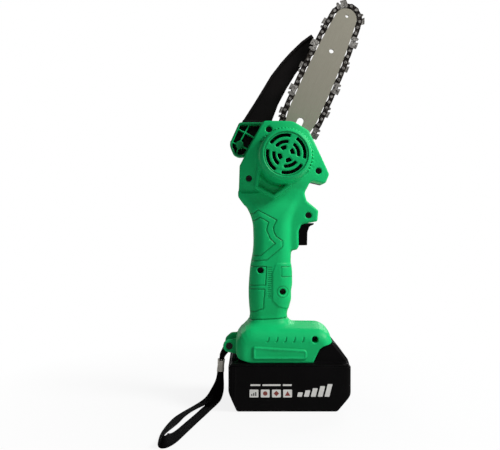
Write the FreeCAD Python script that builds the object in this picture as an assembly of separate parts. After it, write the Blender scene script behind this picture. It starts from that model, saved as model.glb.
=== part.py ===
"""One-handed cordless chain saw, standing upright on its battery.

Millimetres.  +Z is up, +X is the trigger side, -Y is the side with the motor vent.
The origin is the centre of the battery's base face.
"""
import FreeCAD, Part
import math
import os

V = FreeCAD.Vector
Y_AXIS = V(0, 1, 0)

# ---- driving dimensions -------------------------------------------------------------------
# battery pack (the common 18-20 V slide pack)
PACK_LENGTH = 115.0
PACK_WIDTH = 75.0
PACK_WALL = 2.2
SEAM_Z = 43.0
RAIL_TOP_Z = 61.5
PACK_X = PACK_LENGTH / 2
PACK_Y = PACK_WIDTH / 2
CELL_RADIUS = 9.2
CELL_LENGTH = 65.0
CELL_PITCH_X = 19.0
CELL_ROWS_Z = (12.4, 31.2)
PACK_SCREWS = ((-52.2, -31.6), (-52.2, 31.6), (52.2, -31.6), (52.2, 31.6))
BLADE_Y = (-16.0, 16.0)

# housing
WALL = 2.5
FOOT_X0 = -51.4
FOOT_X1 = 41.0
FOOT_Y = 33.0
FOOT_Z0 = 45.4
FOOT_TOP_Z = 80.0
HEAD_NEAR_Y = -16.0
HEAD_FAR_Y = 13.0
BULGE_Y = -36.0
BULGE_RADIUS = 25.5
SCREW_RECESS = 3.1
LUG_X = -58.4
LUG_Z = 57.0

# drive line, all on one axis along Y
DRIVE_X = -3.6
DRIVE_Z = 244.7
MODULE = 0.7
SUN_TEETH = 18
PLANET_TEETH = 15
RING_TEETH = SUN_TEETH + 2 * PLANET_TEETH
PLANET_ANGLES = (90.0, 210.0, 330.0)
PLANET_ORBIT = MODULE * (SUN_TEETH + PLANET_TEETH) / 2
SHAFT_RADIUS = 1.6
SPINDLE_RADIUS = 4.0
MOTOR_RADIUS = 18.0
GEAR_Y0 = 0.0
GEAR_Y1 = 5.6

# guide bar and chain, in bar coordinates: s along the bar from the drive axis, n across it
BAR_TILT = 24.0
BAR_Y = 18.0
BAR_THICKNESS = 3.2
BAR_HALF_WIDTH = 16.0
NOSE_RADIUS = 11.4
TAIL_S = 15.0
TAIL_HALF_WIDTH = 10.5
PARALLEL_S0 = 49.0
PARALLEL_S1 = 75.0
GROOVE_DEPTH = 4.2
GROOVE_WIDTH = 1.3
SLOT_RADIUS = 3.35
SLOT_S0 = 22.4
SLOT_S1 = 43.4
BAR_HOLES = ((122.1, 2.35), (161.5, 1.65))
STUD_S = 25.5
TENSION_N = 9.0
TENSION_Y = 23.6
TENSION_S = 27.0
PITCH = 6.35
LINKS = 64
RAIL_TO_PITCH = 3.2
SPROCKET_TEETH = 7
LINK_THICKNESS = 1.0
DRIVE_LINK_THICKNESS = 1.1

# guard
GUARD_X = -48.4
GUARD_Z = 257.8
GUARD_Y0 = 13.5
GUARD_PLATE_Y = 22.5
GUARD_Y1 = 25.0

# trigger
TRIGGER_TRAVEL = 6.0
TRIGGER_HALF_WIDTH = 7.0


# ---- small helpers ------------------------------------------------------------------------
def box(x0, x1, y0, y1, z0, z1):
    return Part.makeBox(x1 - x0, y1 - y0, z1 - z0, V(x0, y0, z0))


def rod(x, z, radius, y0, y1):
    """A cylinder along Y."""
    return Part.makeCylinder(radius, y1 - y0, V(x, y0, z), Y_AXIS)


def tube(x, z, outer, inner, y0, y1):
    return rod(x, z, outer, y0, y1).cut(rod(x, z, inner, y0 - 1, y1 + 1))


def fuse(shapes):
    return shapes[0].multiFuse(shapes[1:]).removeSplitter() if len(shapes) > 1 else shapes[0]


def outline(corners, y=0.0):
    """A closed wire in the XZ plane.  Each corner is (x, z) or (x, z, fillet radius)."""
    count = len(corners)
    edges = []
    ends = []
    for i, corner in enumerate(corners):
        point = V(corner[0], y, corner[1])
        before = V(corners[i - 1][0], y, corners[i - 1][1]) - point
        after = V(corners[(i + 1) % count][0], y, corners[(i + 1) % count][1]) - point
        radius = corner[2] if len(corner) > 2 else 0.0
        if not radius:
            ends.append((point, point))
            continue
        half = before.getAngle(after) / 2
        reach = radius / math.tan(half)
        first = point + before.normalize() * reach
        last = point + after.normalize() * reach
        inward = (before + after).normalize()
        middle = point + inward * (radius / math.sin(half) - radius)
        ends.append((first, last))
        edges.append(Part.Arc(first, middle, last).toShape())
    for i in range(count):
        start = ends[i][1]
        stop = ends[(i + 1) % count][0]
        if start.distanceToPoint(stop) > 1e-6:
            edges.append(Part.LineSegment(start, stop).toShape())
    return Part.Wire(Part.__sortEdges__(edges))


def prism(corners, y0, y1, offset=0.0):
    """An outline carried along Y, grown or shrunk by offset first."""
    wire = outline(corners, y0)
    if offset:
        wire = wire.makeOffset2D(offset)
    return Part.Face(wire).extrude(V(0, y1 - y0, 0))


def rounded_section(x0, x1, half_y, radius, z):
    """A rounded rectangle in a level plane."""
    box_face = [(x0, -half_y), (x1, -half_y), (x1, half_y), (x0, half_y)]
    edges = []
    for i in range(4):
        ax, ay = box_face[i]
        bx, by = box_face[(i + 1) % 4]
        cx, cy = box_face[(i + 2) % 4]
        along = V(bx - ax, by - ay, 0).normalize()
        turn = V(cx - bx, cy - by, 0).normalize()
        start = V(ax, ay, z) + along * radius
        stop = V(bx, by, z) - along * radius
        centre = stop + turn * radius
        middle = centre + (along - turn).normalize() * radius
        edges.append(Part.LineSegment(start, stop).toShape())
        edges.append(Part.Arc(stop, middle, centre + along * radius).toShape())
    return Part.Wire(edges)


def loft(sections, shrink=0.0):
    """A ruled loft through (z, x0, x1, half_y, corner radius) sections."""
    wires = []
    for z, x0, x1, half_y, radius in sections:
        corner = max(radius - shrink, 1.5)
        wires.append(rounded_section(x0 + shrink, x1 - shrink, half_y - shrink, corner, z))
    return Part.makeLoft(wires, True, True)


def bar_point(s, n, y=BAR_Y):
    tilt = math.radians(BAR_TILT)
    x = DRIVE_X + s * math.sin(tilt) + n * math.cos(tilt)
    z = DRIVE_Z + s * math.cos(tilt) - n * math.sin(tilt)
    return V(x, y, z)


def bar_frame(shape):
    """Carry a shape from bar coordinates (n on X, s on Z) to its place on the saw."""
    moved = shape.copy()
    moved.rotate(V(0, 0, 0), Y_AXIS, BAR_TILT)
    moved.translate(V(DRIVE_X, 0, DRIVE_Z))
    return moved


def save(name, shape):
    solids = shape.Solids
    body = solids[0] if len(solids) == 1 else Part.makeCompound(solids)
    assert solids and body.isValid(), name
    body.exportStep("parts/%s.step" % name)
    print("%-22s %3d solids %10.1f mm3" % (name, len(solids), body.Volume))


# ---- outlines of the housing --------------------------------------------------------------
HEAD = [
    (-46.0, 201.0, 4.0),
    (-49.2, 207.0, 3.0),
    (-48.3, 235.7, 6.0),
    (-28.1, 273.6, 3.0),
    (-24.1, 280.2, 3.0),
    (4.5, 279.6, 16.0),
    (20.0, 270.2, 5.0),
    (40.8, 227.4, 4.0),
    (36.9, 217.7, 3.0),
    (22.3, 221.1, 5.0),
    (15.6, 207.0, 5.0),
    (18.5, 201.0, 2.0),
]
BEAK = [
    (4.0, 212.0),
    (15.6, 208.5, 4.0),
    (18.8, 200.8, 3.0),
    (29.9, 191.5, 3.0),
    (28.8, 180.6, 1.5),
    (26.4, 179.4, 1.0),
    (4.0, 179.4),
]
COVER = [
    (-48.9, 208.6, 3.0),
    (-48.0, 235.8, 6.0),
    (-27.9, 273.4, 3.0),
    (-23.9, 279.9, 3.0),
    (4.3, 279.3, 16.0),
    (19.8, 270.0, 5.0),
    (40.4, 227.4, 4.0),
    (36.7, 218.0, 3.0),
    (22.0, 221.4, 5.0),
    (16.0, 208.6, 3.0),
]
BRACKET = [
    (-48.8, 280.2, 3.0),
    (-24.0, 280.2),
    (-27.0, 273.2),
    (-43.0, 246.0),
    (-49.0, 245.8, 4.0),
    (-53.8, 248.6, 4.0),
    (-58.6, 258.6, 4.0),
]
FAR_EAR = [
    (FOOT_X0 + 1.0, 46.0),
    (-58.6, 50.2, 4.0),
    (-63.4, 54.0, 4.0),
    (-63.0, 62.6, 4.0),
    (-57.0, 68.0, 3.0),
    (FOOT_X0 + 1.0, 68.6),
]
BRACKET_RIBS = [
    ((-49.6, 273.8), (-33.0, 265.0)),
    ((-38.7, 278.0), (-47.5, 262.0)),
    ((-46.0, 256.6), (-39.0, 252.8)),
    ((-52.0, 259.0), (-57.5, 261.2)),
    ((-50.0, 254.5), (-52.0, 248.2)),
]
GRIP_SECTIONS = [
    (78.0, -37.2, -1.5, 16.5, 11.0),
    (90.0, -37.8, -1.2, 16.6, 11.0),
    (100.0, -39.0, 1.4, 17.6, 11.5),
    (112.0, -39.4, 3.0, 18.0, 12.0),
    (128.0, -38.5, 3.2, 18.0, 12.0),
    (146.0, -36.0, 3.0, 17.6, 12.0),
    (152.5, -35.2, 6.0, 17.0, 12.0),
    (156.0, -34.8, 10.0, 17.0, 12.0),
    (178.0, -34.9, 10.0, 17.0, 12.0),
    (187.0, -37.2, 12.0, 16.6, 11.0),
    (197.0, -42.3, 14.0, 16.2, 10.0),
    (206.0, -48.8, 15.0, 16.0, 8.0),
]
FOOT_SECTIONS = [
    (FOOT_Z0, FOOT_X0, FOOT_X1, FOOT_Y, 9.0),
    (66.0, FOOT_X0, FOOT_X1, FOOT_Y, 9.0),
    (72.5, -50.0, 40.0, 31.5, 9.5),
    (77.0, -46.0, 37.0, 27.5, 10.0),
    (FOOT_TOP_Z, -39.5, 29.0, 20.0, 10.0),
]
FOOT_SLANT = [(22.2, 44.0), (28.4, 58.2), (32.4, 60.9), (41.6, 63.6), (60.0, 63.6), (60.0, 44.0)]
SCREW_END_Y = 8.0
SCREWS = [
    # x, z, near face, seat of the screw head, far end of the post
    (-19.3, 271.1, HEAD_NEAR_Y, -7.0, 10.6),
    (-38.9, 223.1, HEAD_NEAR_Y, -7.0, 10.6),
    (29.7, 230.4, HEAD_NEAR_Y, -7.0, 10.6),
    (19.9, 186.6, -12.0, -7.0, 9.6),
    (-27.7, 132.6, -18.0, -8.0, 16.5),
    (-5.95, 111.6, -18.0, -8.0, 16.5),
    (24.2, 67.4, -FOOT_Y, -18.0, 10.0),
]


# ---- housing ------------------------------------------------------------------------------
def near_lug_ear(y0, y1, radius):
    """The near ear of the strap lug, blended into the rear of the foot."""
    ear = rod(LUG_X, LUG_Z, radius, y0, y1)
    web = prism(
        [
            (LUG_X, LUG_Z + radius),
            (FOOT_X0 + 1.0, LUG_Z + radius + 1.5),
            (FOOT_X0 + 1.0, LUG_Z - radius - 2.0),
            (LUG_X, LUG_Z - radius),
        ],
        y0,
        y1,
    )
    return ear.fuse(web).cut(rod(LUG_X, LUG_Z, 2.25, y0 - 1, y1 + 1))


def housing_outside():
    head = prism(HEAD, HEAD_NEAR_Y, HEAD_FAR_Y)
    rim = [e for e in head.Edges if abs(e.CenterOfMass.y - HEAD_NEAR_Y) < 1e-6]
    head = head.makeFillet(1.8, rim)
    bulge = rod(DRIVE_X, DRIVE_Z, BULGE_RADIUS, BULGE_Y, HEAD_NEAR_Y + 1)
    top = [e for e in bulge.Edges if abs(e.CenterOfMass.y - BULGE_Y) < 1e-6]
    bulge = bulge.makeFillet(3.0, top)
    beak = prism(BEAK, -12.0, 12.0)
    foot = loft(FOOT_SECTIONS).cut(prism(FOOT_SLANT, -60.0, 60.0))
    return fuse([head, bulge, beak, loft(GRIP_SECTIONS), foot])


def housing_inside():
    head = prism(HEAD, HEAD_NEAR_Y + WALL, HEAD_FAR_Y - WALL, -WALL)
    bulge = rod(DRIVE_X, DRIVE_Z, BULGE_RADIUS - 2.7, BULGE_Y + 2.4, HEAD_NEAR_Y + WALL + 1)
    grip = loft(GRIP_SECTIONS, WALL)
    throat = loft([(72.0, -36.0, -3.0, 13.5, 8.0), (84.0, -35.0, -4.0, 13.5, 8.0)])
    gallery = loft([
        (64.0, -48.0, 36.0, 28.5, 6.0),
        (73.0, -46.0, 35.0, 27.0, 6.0),
        (79.0, -38.0, 24.0, 18.0, 6.0),
    ])
    channel = box(FOOT_X0 + 1.8, 80.0, -24.4, 24.4, 44.0, 57.0)
    rails = box(FOOT_X0 + 1.8, 80.0, -27.4, 27.4, 56.0, RAIL_TOP_Z + 0.6)
    catch = box(29.5, 80.0, -7.6, 7.6, RAIL_TOP_Z, 66.0)
    port = box(-44.0, -6.0, -18.5, 18.5, RAIL_TOP_Z, 66.0)
    trigger = box(-6.0, 20.0, -TRIGGER_HALF_WIDTH - 0.4, TRIGGER_HALF_WIDTH + 0.4, 156.2, 179.2)
    lead_way = box(DRIVE_X - 6.0, DRIVE_X + 6.0, -20.0, -13.0, 220.2, 226.0)
    return [head, bulge, grip, throat, gallery, channel, rails, catch, port, trigger, lead_way]


def ring_slot(inner, outer, centre_angle, span):
    """One arc slot of the motor vent."""
    low = math.radians(centre_angle - span / 2)
    high = math.radians(centre_angle + span / 2)
    middle = (low + high) / 2

    def at(radius, angle):
        return V(DRIVE_X + radius * math.cos(angle), BULGE_Y - 1, DRIVE_Z + radius * math.sin(angle))

    edges = [
        Part.Arc(at(inner, low), at(inner, middle), at(inner, high)).toShape(),
        Part.LineSegment(at(inner, high), at(outer, high)).toShape(),
        Part.Arc(at(outer, high), at(outer, middle), at(outer, low)).toShape(),
        Part.LineSegment(at(outer, low), at(inner, low)).toShape(),
    ]
    return Part.Face(Part.Wire(edges)).extrude(V(0, 5, 0))


def screw_post(x, z, y0, y1):
    return rod(x, z, 4.4, y0, y1)


def housing_near(outside, inside):
    half = outside.common(box(-80.0, 80.0, -60.0, 0.0, 0.0, 300.0))
    for hollow in inside:
        half = half.cut(hollow)
    posts = [screw_post(x, z, near + 1.5, 0.0) for x, z, near, seat, far in SCREWS]
    half = half.multiFuse(posts)
    cuts = []
    for x, z, near, seat, far in SCREWS:
        cuts.append(rod(x, z, SCREW_RECESS, near - 5.0, seat))
        cuts.append(rod(x, z, 1.8, seat - 1.0, 1.0))
    bar_axis = 90.0 - BAR_TILT
    for inner, outer, span in ((4.6, 8.0, 46.0), (10.2, 13.0, 64.0), (16.6, 19.1, 70.0)):
        for quarter in range(4):
            cuts.append(ring_slot(inner, outer, bar_axis + 45.0 + 90.0 * quarter, span))
    cuts.append(tube(DRIVE_X, DRIVE_Z, 21.2, 20.4, BULGE_Y - 1, BULGE_Y + 0.6))
    for cutter in cuts:
        half = half.cut(cutter)
    return half.fuse(near_lug_ear(-9.5, -4.0, 6.2)).cut(rod(LUG_X, LUG_Z, 3.4, -10.5, -6.6))


def guard_bracket():
    frame = prism(BRACKET, 0.0, HEAD_FAR_Y).cut(prism(BRACKET, -1.0, HEAD_FAR_Y + 1, -2.0))
    pieces = [frame, rod(GUARD_X, GUARD_Z, 3.9, 0.0, HEAD_FAR_Y)]
    for (x0, z0), (x1, z1) in BRACKET_RIBS:
        across = V(z1 - z0, 0, x0 - x1).normalize() * 0.55
        corners = [
            (x0 + across.x, z0 + across.z),
            (x1 + across.x, z1 + across.z),
            (x1 - across.x, z1 - across.z),
            (x0 - across.x, z0 - across.z),
        ]
        pieces.append(prism(corners, 3.0, HEAD_FAR_Y))
    bracket = pieces[0].multiFuse(pieces[1:])
    return bracket.cut(rod(GUARD_X, GUARD_Z, 2.0, 1.0, 20.0))


def housing_far(outside, inside):
    half = outside.common(box(-80.0, 80.0, 0.0, 60.0, 0.0, 300.0))
    for hollow in inside:
        half = half.cut(hollow)
    posts = [screw_post(x, z, 0.0, far) for x, z, near, seat, far in SCREWS]
    bearing_boss = rod(DRIVE_X, DRIVE_Z, 10.5, 8.2, HEAD_FAR_Y)
    pad = bar_frame(box(-9.0, 9.0, HEAD_FAR_Y - 1, BAR_Y - BAR_THICKNESS / 2 - 0.05, 14.0, 60.0))
    pad = pad.common(prism(HEAD, HEAD_FAR_Y - 1, BAR_Y))
    half = half.multiFuse(posts + [bearing_boss, pad, guard_bracket()])
    cuts = [rod(x, z, 1.65, -1.0, SCREW_END_Y + 0.6) for x, z, near, seat, far in SCREWS]
    stud = bar_point(STUD_S, 0.0)
    cuts.append(rod(DRIVE_X, DRIVE_Z, 8.0, 8.0, 20.0))
    cuts.append(rod(stud.x, stud.z, 3.0, 10.0, 20.0))
    cuts.append(rod(-4.0, 191.0, 5.15, 10.0, 20.0))
    for cutter in cuts:
        half = half.cut(cutter)
    ear = prism(FAR_EAR, 4.0, 9.5).cut(rod(LUG_X, LUG_Z, 2.25, 3.0, 10.5))
    return half.fuse(ear)


def housing_screws():
    pieces = []
    for x, z, near, seat, far in SCREWS:
        head = rod(x, z, 2.9, seat - 2.2, seat).cut(star_recess(x, z, seat - 2.2))
        pieces.append(head.fuse(rod(x, z, 1.6, seat, SCREW_END_Y)))
    return Part.makeCompound(pieces)


def star_recess(x, z, y):
    """A cross recess in a screw head."""
    cross = box(x - 1.6, x + 1.6, y - 0.5, y + 1.2, z - 0.35, z + 0.35)
    return cross.fuse(box(x - 0.35, x + 0.35, y - 0.5, y + 1.2, z - 1.6, z + 1.6))


def lug_pin():
    head = rod(LUG_X, LUG_Z, 3.2, -9.0, -6.6).cut(star_recess(LUG_X, LUG_Z, -9.0))
    return head.fuse(rod(LUG_X, LUG_Z, 2.2, -6.6, 9.0))


def side_cover():
    inner_y = 27.6
    outer_y = 30.0
    body = prism(COVER, HEAD_FAR_Y, outer_y)
    edge = [e for e in body.Edges if abs(e.CenterOfMass.y - outer_y) < 1e-6]
    body = body.makeFillet(2.0, edge)
    body = body.cut(prism(COVER, HEAD_FAR_Y - 1, inner_y, -2.2))
    exit_way = bar_frame(box(-26.5, 26.5, HEAD_FAR_Y - 1, inner_y, 12.0, 70.0))
    stud = bar_point(STUD_S, 0.0)
    screw_foot = bar_frame(box(TENSION_N - 4.5, TENSION_N + 4.5, TENSION_Y - 3.5, 28.0, 15.0, 19.0))
    screw_collar = bar_frame(box(TENSION_N - 4.0, TENSION_N + 4.0, TENSION_Y - 3.5, 28.0, 31.2, 33.8))
    boss = rod(stud.x, stud.z, 5.0, 21.0, 28.0)
    body = body.cut(exit_way).multiFuse([screw_foot, screw_collar, boss])
    bore = bar_frame(Part.makeCylinder(2.08, 60.0, V(TENSION_N, TENSION_Y, 16.5), V(0, 0, 1)))
    body = body.cut(bore).cut(rod(stud.x, stud.z, 3.2, 10.0, 40.0))
    return body.common(prism(COVER, HEAD_FAR_Y, outer_y))


# ---- guide bar, tensioner -----------------------------------------------------------------
def nose_sweep(half_width, nose_radius, nose_s):
    """Radius and end angle of the long side arc from the parallel part to the nose circle."""
    run = nose_s - PARALLEL_S1
    radius = (run * run + half_width ** 2 - nose_radius ** 2) / (2 * (half_width - nose_radius))
    angle = math.atan2(radius - half_width, run)
    return radius, angle


def bar_layer(nose_s, inset, y0, y1):
    """One layer of the bar, its rail edge set in by inset, in bar coordinates."""
    half = BAR_HALF_WIDTH - inset
    nose = NOSE_RADIUS - inset
    tail = TAIL_HALF_WIDTH - inset
    radius, angle = nose_sweep(half, nose, nose_s)

    def at(n, s):
        return V(n, y0, s)

    def side(sign):
        centre_n = half - radius
        middle = (math.pi / 2 + angle) / 2
        joint = at(sign * nose * math.sin(angle), nose_s + nose * math.cos(angle))
        middle_n = centre_n + radius * math.sin(middle)
        halfway = at(sign * middle_n, PARALLEL_S1 + radius * math.cos(middle))
        long_arc = Part.Arc(at(sign * half, PARALLEL_S1), halfway, joint).toShape()
        straight = Part.LineSegment(at(sign * half, PARALLEL_S0), at(sign * half, PARALLEL_S1)).toShape()
        taper = Part.LineSegment(at(sign * tail, TAIL_S), at(sign * half, PARALLEL_S0)).toShape()
        return [taper, straight, long_arc], joint

    right, right_joint = side(1.0)
    left, left_joint = side(-1.0)
    tip = Part.Arc(right_joint, at(0.0, nose_s + nose), left_joint).toShape()
    end = Part.LineSegment(at(tail, TAIL_S), at(-tail, TAIL_S)).toShape()
    wire = Part.Wire(Part.__sortEdges__(right + left + [tip, end]))
    return Part.Face(wire).extrude(V(0, y1 - y0, 0))


def guide_bar(nose_s):
    outer = BAR_THICKNESS / 2
    inner = GROOVE_WIDTH / 2
    layers = [
        bar_layer(nose_s, 0.0, BAR_Y - outer, BAR_Y - inner),
        bar_layer(nose_s, GROOVE_DEPTH, BAR_Y - inner, BAR_Y + inner),
        bar_layer(nose_s, 0.0, BAR_Y + inner, BAR_Y + outer),
    ]
    bar = layers[0].multiFuse(layers[1:])
    slot = box(-SLOT_RADIUS, SLOT_RADIUS, 10.0, 25.0, SLOT_S0, SLOT_S1)
    bar = bar.cut(slot)
    for s, radius in BAR_HOLES + ((SLOT_S0, SLOT_RADIUS), (SLOT_S1, SLOT_RADIUS)):
        bar = bar.cut(rod(0.0, s, radius, 10.0, 25.0))
    bar = bar.cut(rod(TENSION_N - 1.2, TENSION_S, 1.6, 10.0, 25.0))
    return bar_frame(bar)


def tension_block():
    block = box(TENSION_N - 3.5, TENSION_N + 3.5, 20.2, 26.8, TENSION_S - 3.0, TENSION_S + 3.0)
    block = block.cut(Part.makeCylinder(2.08, 20.0, V(TENSION_N, TENSION_Y, TENSION_S - 10), V(0, 0, 1)))
    block = block.fuse(rod(TENSION_N - 1.2, TENSION_S, 1.5, 16.6, 20.3))
    return bar_frame(block)


def tension_screw():
    shank = Part.makeCylinder(2.0, 15.4, V(TENSION_N, TENSION_Y, 17.0), V(0, 0, 1))
    head = Part.makeCylinder(3.0, 2.4, V(TENSION_N, TENSION_Y, 34.1), V(0, 0, 1))
    neck = Part.makeCylinder(2.0, 3.0, V(TENSION_N, TENSION_Y, 31.5), V(0, 0, 1))
    slot = box(TENSION_N - 4.0, TENSION_N + 4.0, TENSION_Y - 0.5, TENSION_Y + 0.5, 35.3, 37.0)
    return bar_frame(fuse([shank, neck, head]).cut(slot))


def bar_stud():
    stud = bar_point(STUD_S, 0.0)
    return rod(stud.x, stud.z, 5.0, 8.4, 10.5).fuse(rod(stud.x, stud.z, 2.98, 10.5, 35.0))


def cover_nut():
    stud = bar_point(STUD_S, 0.0)
    corners = []
    for i in range(6):
        angle = math.radians(60 * i)
        corners.append((stud.x + 7.5 * math.cos(angle), stud.z + 7.5 * math.sin(angle)))
    nut = prism(corners, 31.0, 37.0).fuse(rod(stud.x, stud.z, 8.0, 30.0, 31.2))
    return nut.cut(rod(stud.x, stud.z, 3.0, 25.0, 35.2))


# ---- chain --------------------------------------------------------------------------------
def sprocket_pitch_radius():
    return PITCH / (2 * math.sin(math.pi / (2 * SPROCKET_TEETH)))


def chain_line(nose_s):
    """The closed line that the rivets follow, as many short steps, in (s, n)."""
    back = sprocket_pitch_radius()
    half = BAR_HALF_WIDTH + RAIL_TO_PITCH
    nose = NOSE_RADIUS + RAIL_TO_PITCH
    reach = math.hypot(PARALLEL_S0, half)
    leave = math.atan2(half, PARALLEL_S0) + math.acos(back / reach)
    radius, angle = nose_sweep(half, nose, nose_s)
    upper = []
    for i in range(61):
        a = math.pi + (leave - math.pi) * i / 60
        upper.append((back * math.cos(a), back * math.sin(a)))
    for stop in ((PARALLEL_S0, half), (PARALLEL_S1, half)):
        start = upper[-1]
        for i in range(1, 21):
            share = i / 20
            s = start[0] + (stop[0] - start[0]) * share
            n = start[1] + (stop[1] - start[1]) * share
            upper.append((s, n))
    for i in range(1, 81):
        a = math.pi / 2 + (angle - math.pi / 2) * i / 80
        upper.append((PARALLEL_S1 + radius * math.cos(a), half - radius + radius * math.sin(a)))
    for i in range(1, 61):
        a = angle * (1 - i / 60)
        upper.append((nose_s + nose * math.cos(a), nose * math.sin(a)))
    lower = [(s, -n) for s, n in reversed(upper[1:-1])]
    return upper + lower + [upper[0]]


def walk(line, count):
    """Rivet centres: equal chords of one pitch stepped along the line."""
    here = line[0]
    found = [here]
    index = 0
    while len(found) < count:
        while index + 1 < len(line) and math.dist(line[index + 1], here) < PITCH:
            index += 1
        if index + 1 == len(line):
            break
        low, high = 0.0, 1.0
        (s0, n0), (s1, n1) = line[index], line[index + 1]
        for _ in range(40):
            t = (low + high) / 2
            if math.dist((s0 + (s1 - s0) * t, n0 + (n1 - n0) * t), here) < PITCH:
                low = t
            else:
                high = t
        here = (s0 + (s1 - s0) * low, n0 + (n1 - n0) * low)
        found.append(here)
    return found


def fit_nose():
    """The nose distance at which the chain closes on itself with equal pitches."""
    low, high = 150.0, 165.0
    for _ in range(40):
        nose_s = (low + high) / 2
        line = chain_line(nose_s)
        rivets = walk(line, LINKS + 1)
        closed = len(rivets) <= LINKS
        if closed:
            low = nose_s
        else:
            high = nose_s
    return low


def place_link(shape, first, second):
    """Put a link, modelled along Z with its outer side on +X, between two rivets."""
    s = (first[0] + second[0]) / 2
    n = (first[1] + second[1]) / 2
    heading = math.degrees(math.atan2(second[1] - first[1], second[0] - first[0]))
    moved = shape.copy()
    moved.rotate(V(0, 0, 0), Y_AXIS, heading)
    moved.translate(V(n, 0, s))
    return bar_frame(moved)


def plate(corners, y0, y1):
    """A link plate with rivet holes; corners are (outward, along) with fillets."""
    body = prism(corners, y0, y1)
    for along in (-PITCH / 2, PITCH / 2):
        body = body.cut(rod(0.0, along, 1.02, y0 - 1, y1 + 1))
    return body


def drive_link():
    half = DRIVE_LINK_THICKNESS / 2
    corners = [
        (2.6, -5.0, 1.8),
        (2.6, 5.0, 1.8),
        (-2.4, 5.0, 1.8),
        (-2.9, 2.6, 0.6),
        (-6.1, 0.2, 0.5),
        (-6.1, -1.4, 0.5),
        (-2.9, -2.8, 0.6),
        (-2.4, -5.0, 1.8),
    ]
    return plate(corners, BAR_Y - half, BAR_Y + half)


def tie_strap(side):
    near = DRIVE_LINK_THICKNESS / 2 + 0.05
    far = near + LINK_THICKNESS
    corners = [(2.7, -5.6, 2.4), (2.7, 5.6, 2.4), (-2.5, 5.6, 2.4), (-2.0, 0.0, 8.0), (-2.5, -5.6, 2.4)]
    low, high = sorted((side * near, side * far))
    return plate(corners, BAR_Y + low, BAR_Y + high)


def cutter(side):
    """A chisel cutter: side plate, depth gauge in front, folded top plate."""
    near = DRIVE_LINK_THICKNESS / 2 + 0.05
    far = near + LINK_THICKNESS
    corners = [
        (-2.5, -5.6, 1.5),
        (-2.5, 5.6, 1.5),
        (1.0, 5.8, 0.6),
        (4.7, 5.2, 0.8),
        (4.5, 3.2, 0.8),
        (1.4, 2.0, 1.0),
        (1.6, 0.4, 0.6),
        (5.3, 1.0, 0.3),
        (5.0, -5.4, 0.6),
        (1.0, -5.8, 1.0),
    ]
    low, high = sorted((side * near, side * far))
    body = plate(corners, BAR_Y + low, BAR_Y + high)
    top_low, top_high = sorted((-side * 0.7, side * (far + 0.9)))
    top = prism([(4.35, -5.2), (5.3, -5.2), (5.5, 0.9), (4.6, 0.9)], BAR_Y + top_low, BAR_Y + top_high)
    return body.fuse(top)


def rivet(point):
    place = bar_frame(rod(point[1], point[0], 1.0, BAR_Y - 1.62, BAR_Y + 1.62))
    near = bar_frame(rod(point[1], point[0], 1.55, BAR_Y - 2.05, BAR_Y - 1.62))
    far = bar_frame(rod(point[1], point[0], 1.55, BAR_Y + 1.62, BAR_Y + 2.05))
    return place.multiFuse([near, far])


def chain(nose_s):
    rivets = walk(chain_line(nose_s), LINKS)
    plain = {side: tie_strap(side) for side in (-1, 1)}
    toothed = {side: cutter(side) for side in (-1, 1)}
    middle = drive_link()
    drives, straps, cutters = [], [], []
    for i in range(0, LINKS, 2):
        drives.append(place_link(middle, rivets[i], rivets[i + 1]))
        ends = (rivets[i + 1], rivets[(i + 2) % LINKS])
        order = (i // 2) % 4
        for side in (-1, 1):
            sharp = (order == 0 and side == -1) or (order == 2 and side == 1)
            if sharp:
                cutters.append(place_link(toothed[side], *ends))
            else:
                straps.append(place_link(plain[side], *ends))
    save("chain_drive_links", Part.makeCompound(drives))
    save("chain_tie_straps", Part.makeCompound(straps))
    save("chain_cutters", Part.makeCompound(cutters))
    save("chain_rivets", Part.makeCompound([rivet(point) for point in rivets]))


# ---- gears --------------------------------------------------------------------------------
def involute_flank(base, start, stop, steps=5):
    """Radius and angle pairs up one involute flank."""
    points = []
    for i in range(steps + 1):
        radius = start + (stop - start) * i / steps
        if radius <= base:
            points.append((radius, 0.0))
        else:
            roll = math.sqrt((radius / base) ** 2 - 1)
            points.append((radius, roll - math.atan(roll)))
    return points


def gear_outline(teeth, tip, root, phase, slack):
    """Corners of a 20 degree involute gear; slack thins each tooth, in mm on the pitch line."""
    pitch_radius = MODULE * teeth / 2
    base = pitch_radius * math.cos(math.radians(20))
    roll = math.tan(math.radians(20)) - math.radians(20)
    half_tooth = math.pi / (2 * teeth) - slack / (2 * pitch_radius)
    flank = involute_flank(base, root, tip)
    corners = []
    for tooth in range(teeth):
        centre = math.radians(phase) + 2 * math.pi * tooth / teeth
        for radius, spread in flank:
            angle = centre - half_tooth - roll + spread
            corners.append((radius * math.cos(angle), radius * math.sin(angle)))
        for radius, spread in reversed(flank):
            angle = centre + half_tooth + roll - spread
            corners.append((radius * math.cos(angle), radius * math.sin(angle)))
    return corners


def gear_solid(corners, x, z, y0, y1):
    return prism([(x + u, z + v) for u, v in corners], y0, y1)


def sun_gear():
    pitch_radius = MODULE * SUN_TEETH / 2
    corners = gear_outline(SUN_TEETH, pitch_radius + 0.6, pitch_radius - 0.85, 0.0, 0.16)
    body = gear_solid(corners, DRIVE_X, DRIVE_Z, GEAR_Y0 + 0.2, GEAR_Y1)
    return body.cut(rod(DRIVE_X, DRIVE_Z, SHAFT_RADIUS, -5.0, 10.0))


def planet_centre(angle):
    turn = math.radians(angle)
    return DRIVE_X + PLANET_ORBIT * math.cos(turn), DRIVE_Z + PLANET_ORBIT * math.sin(turn)


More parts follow.
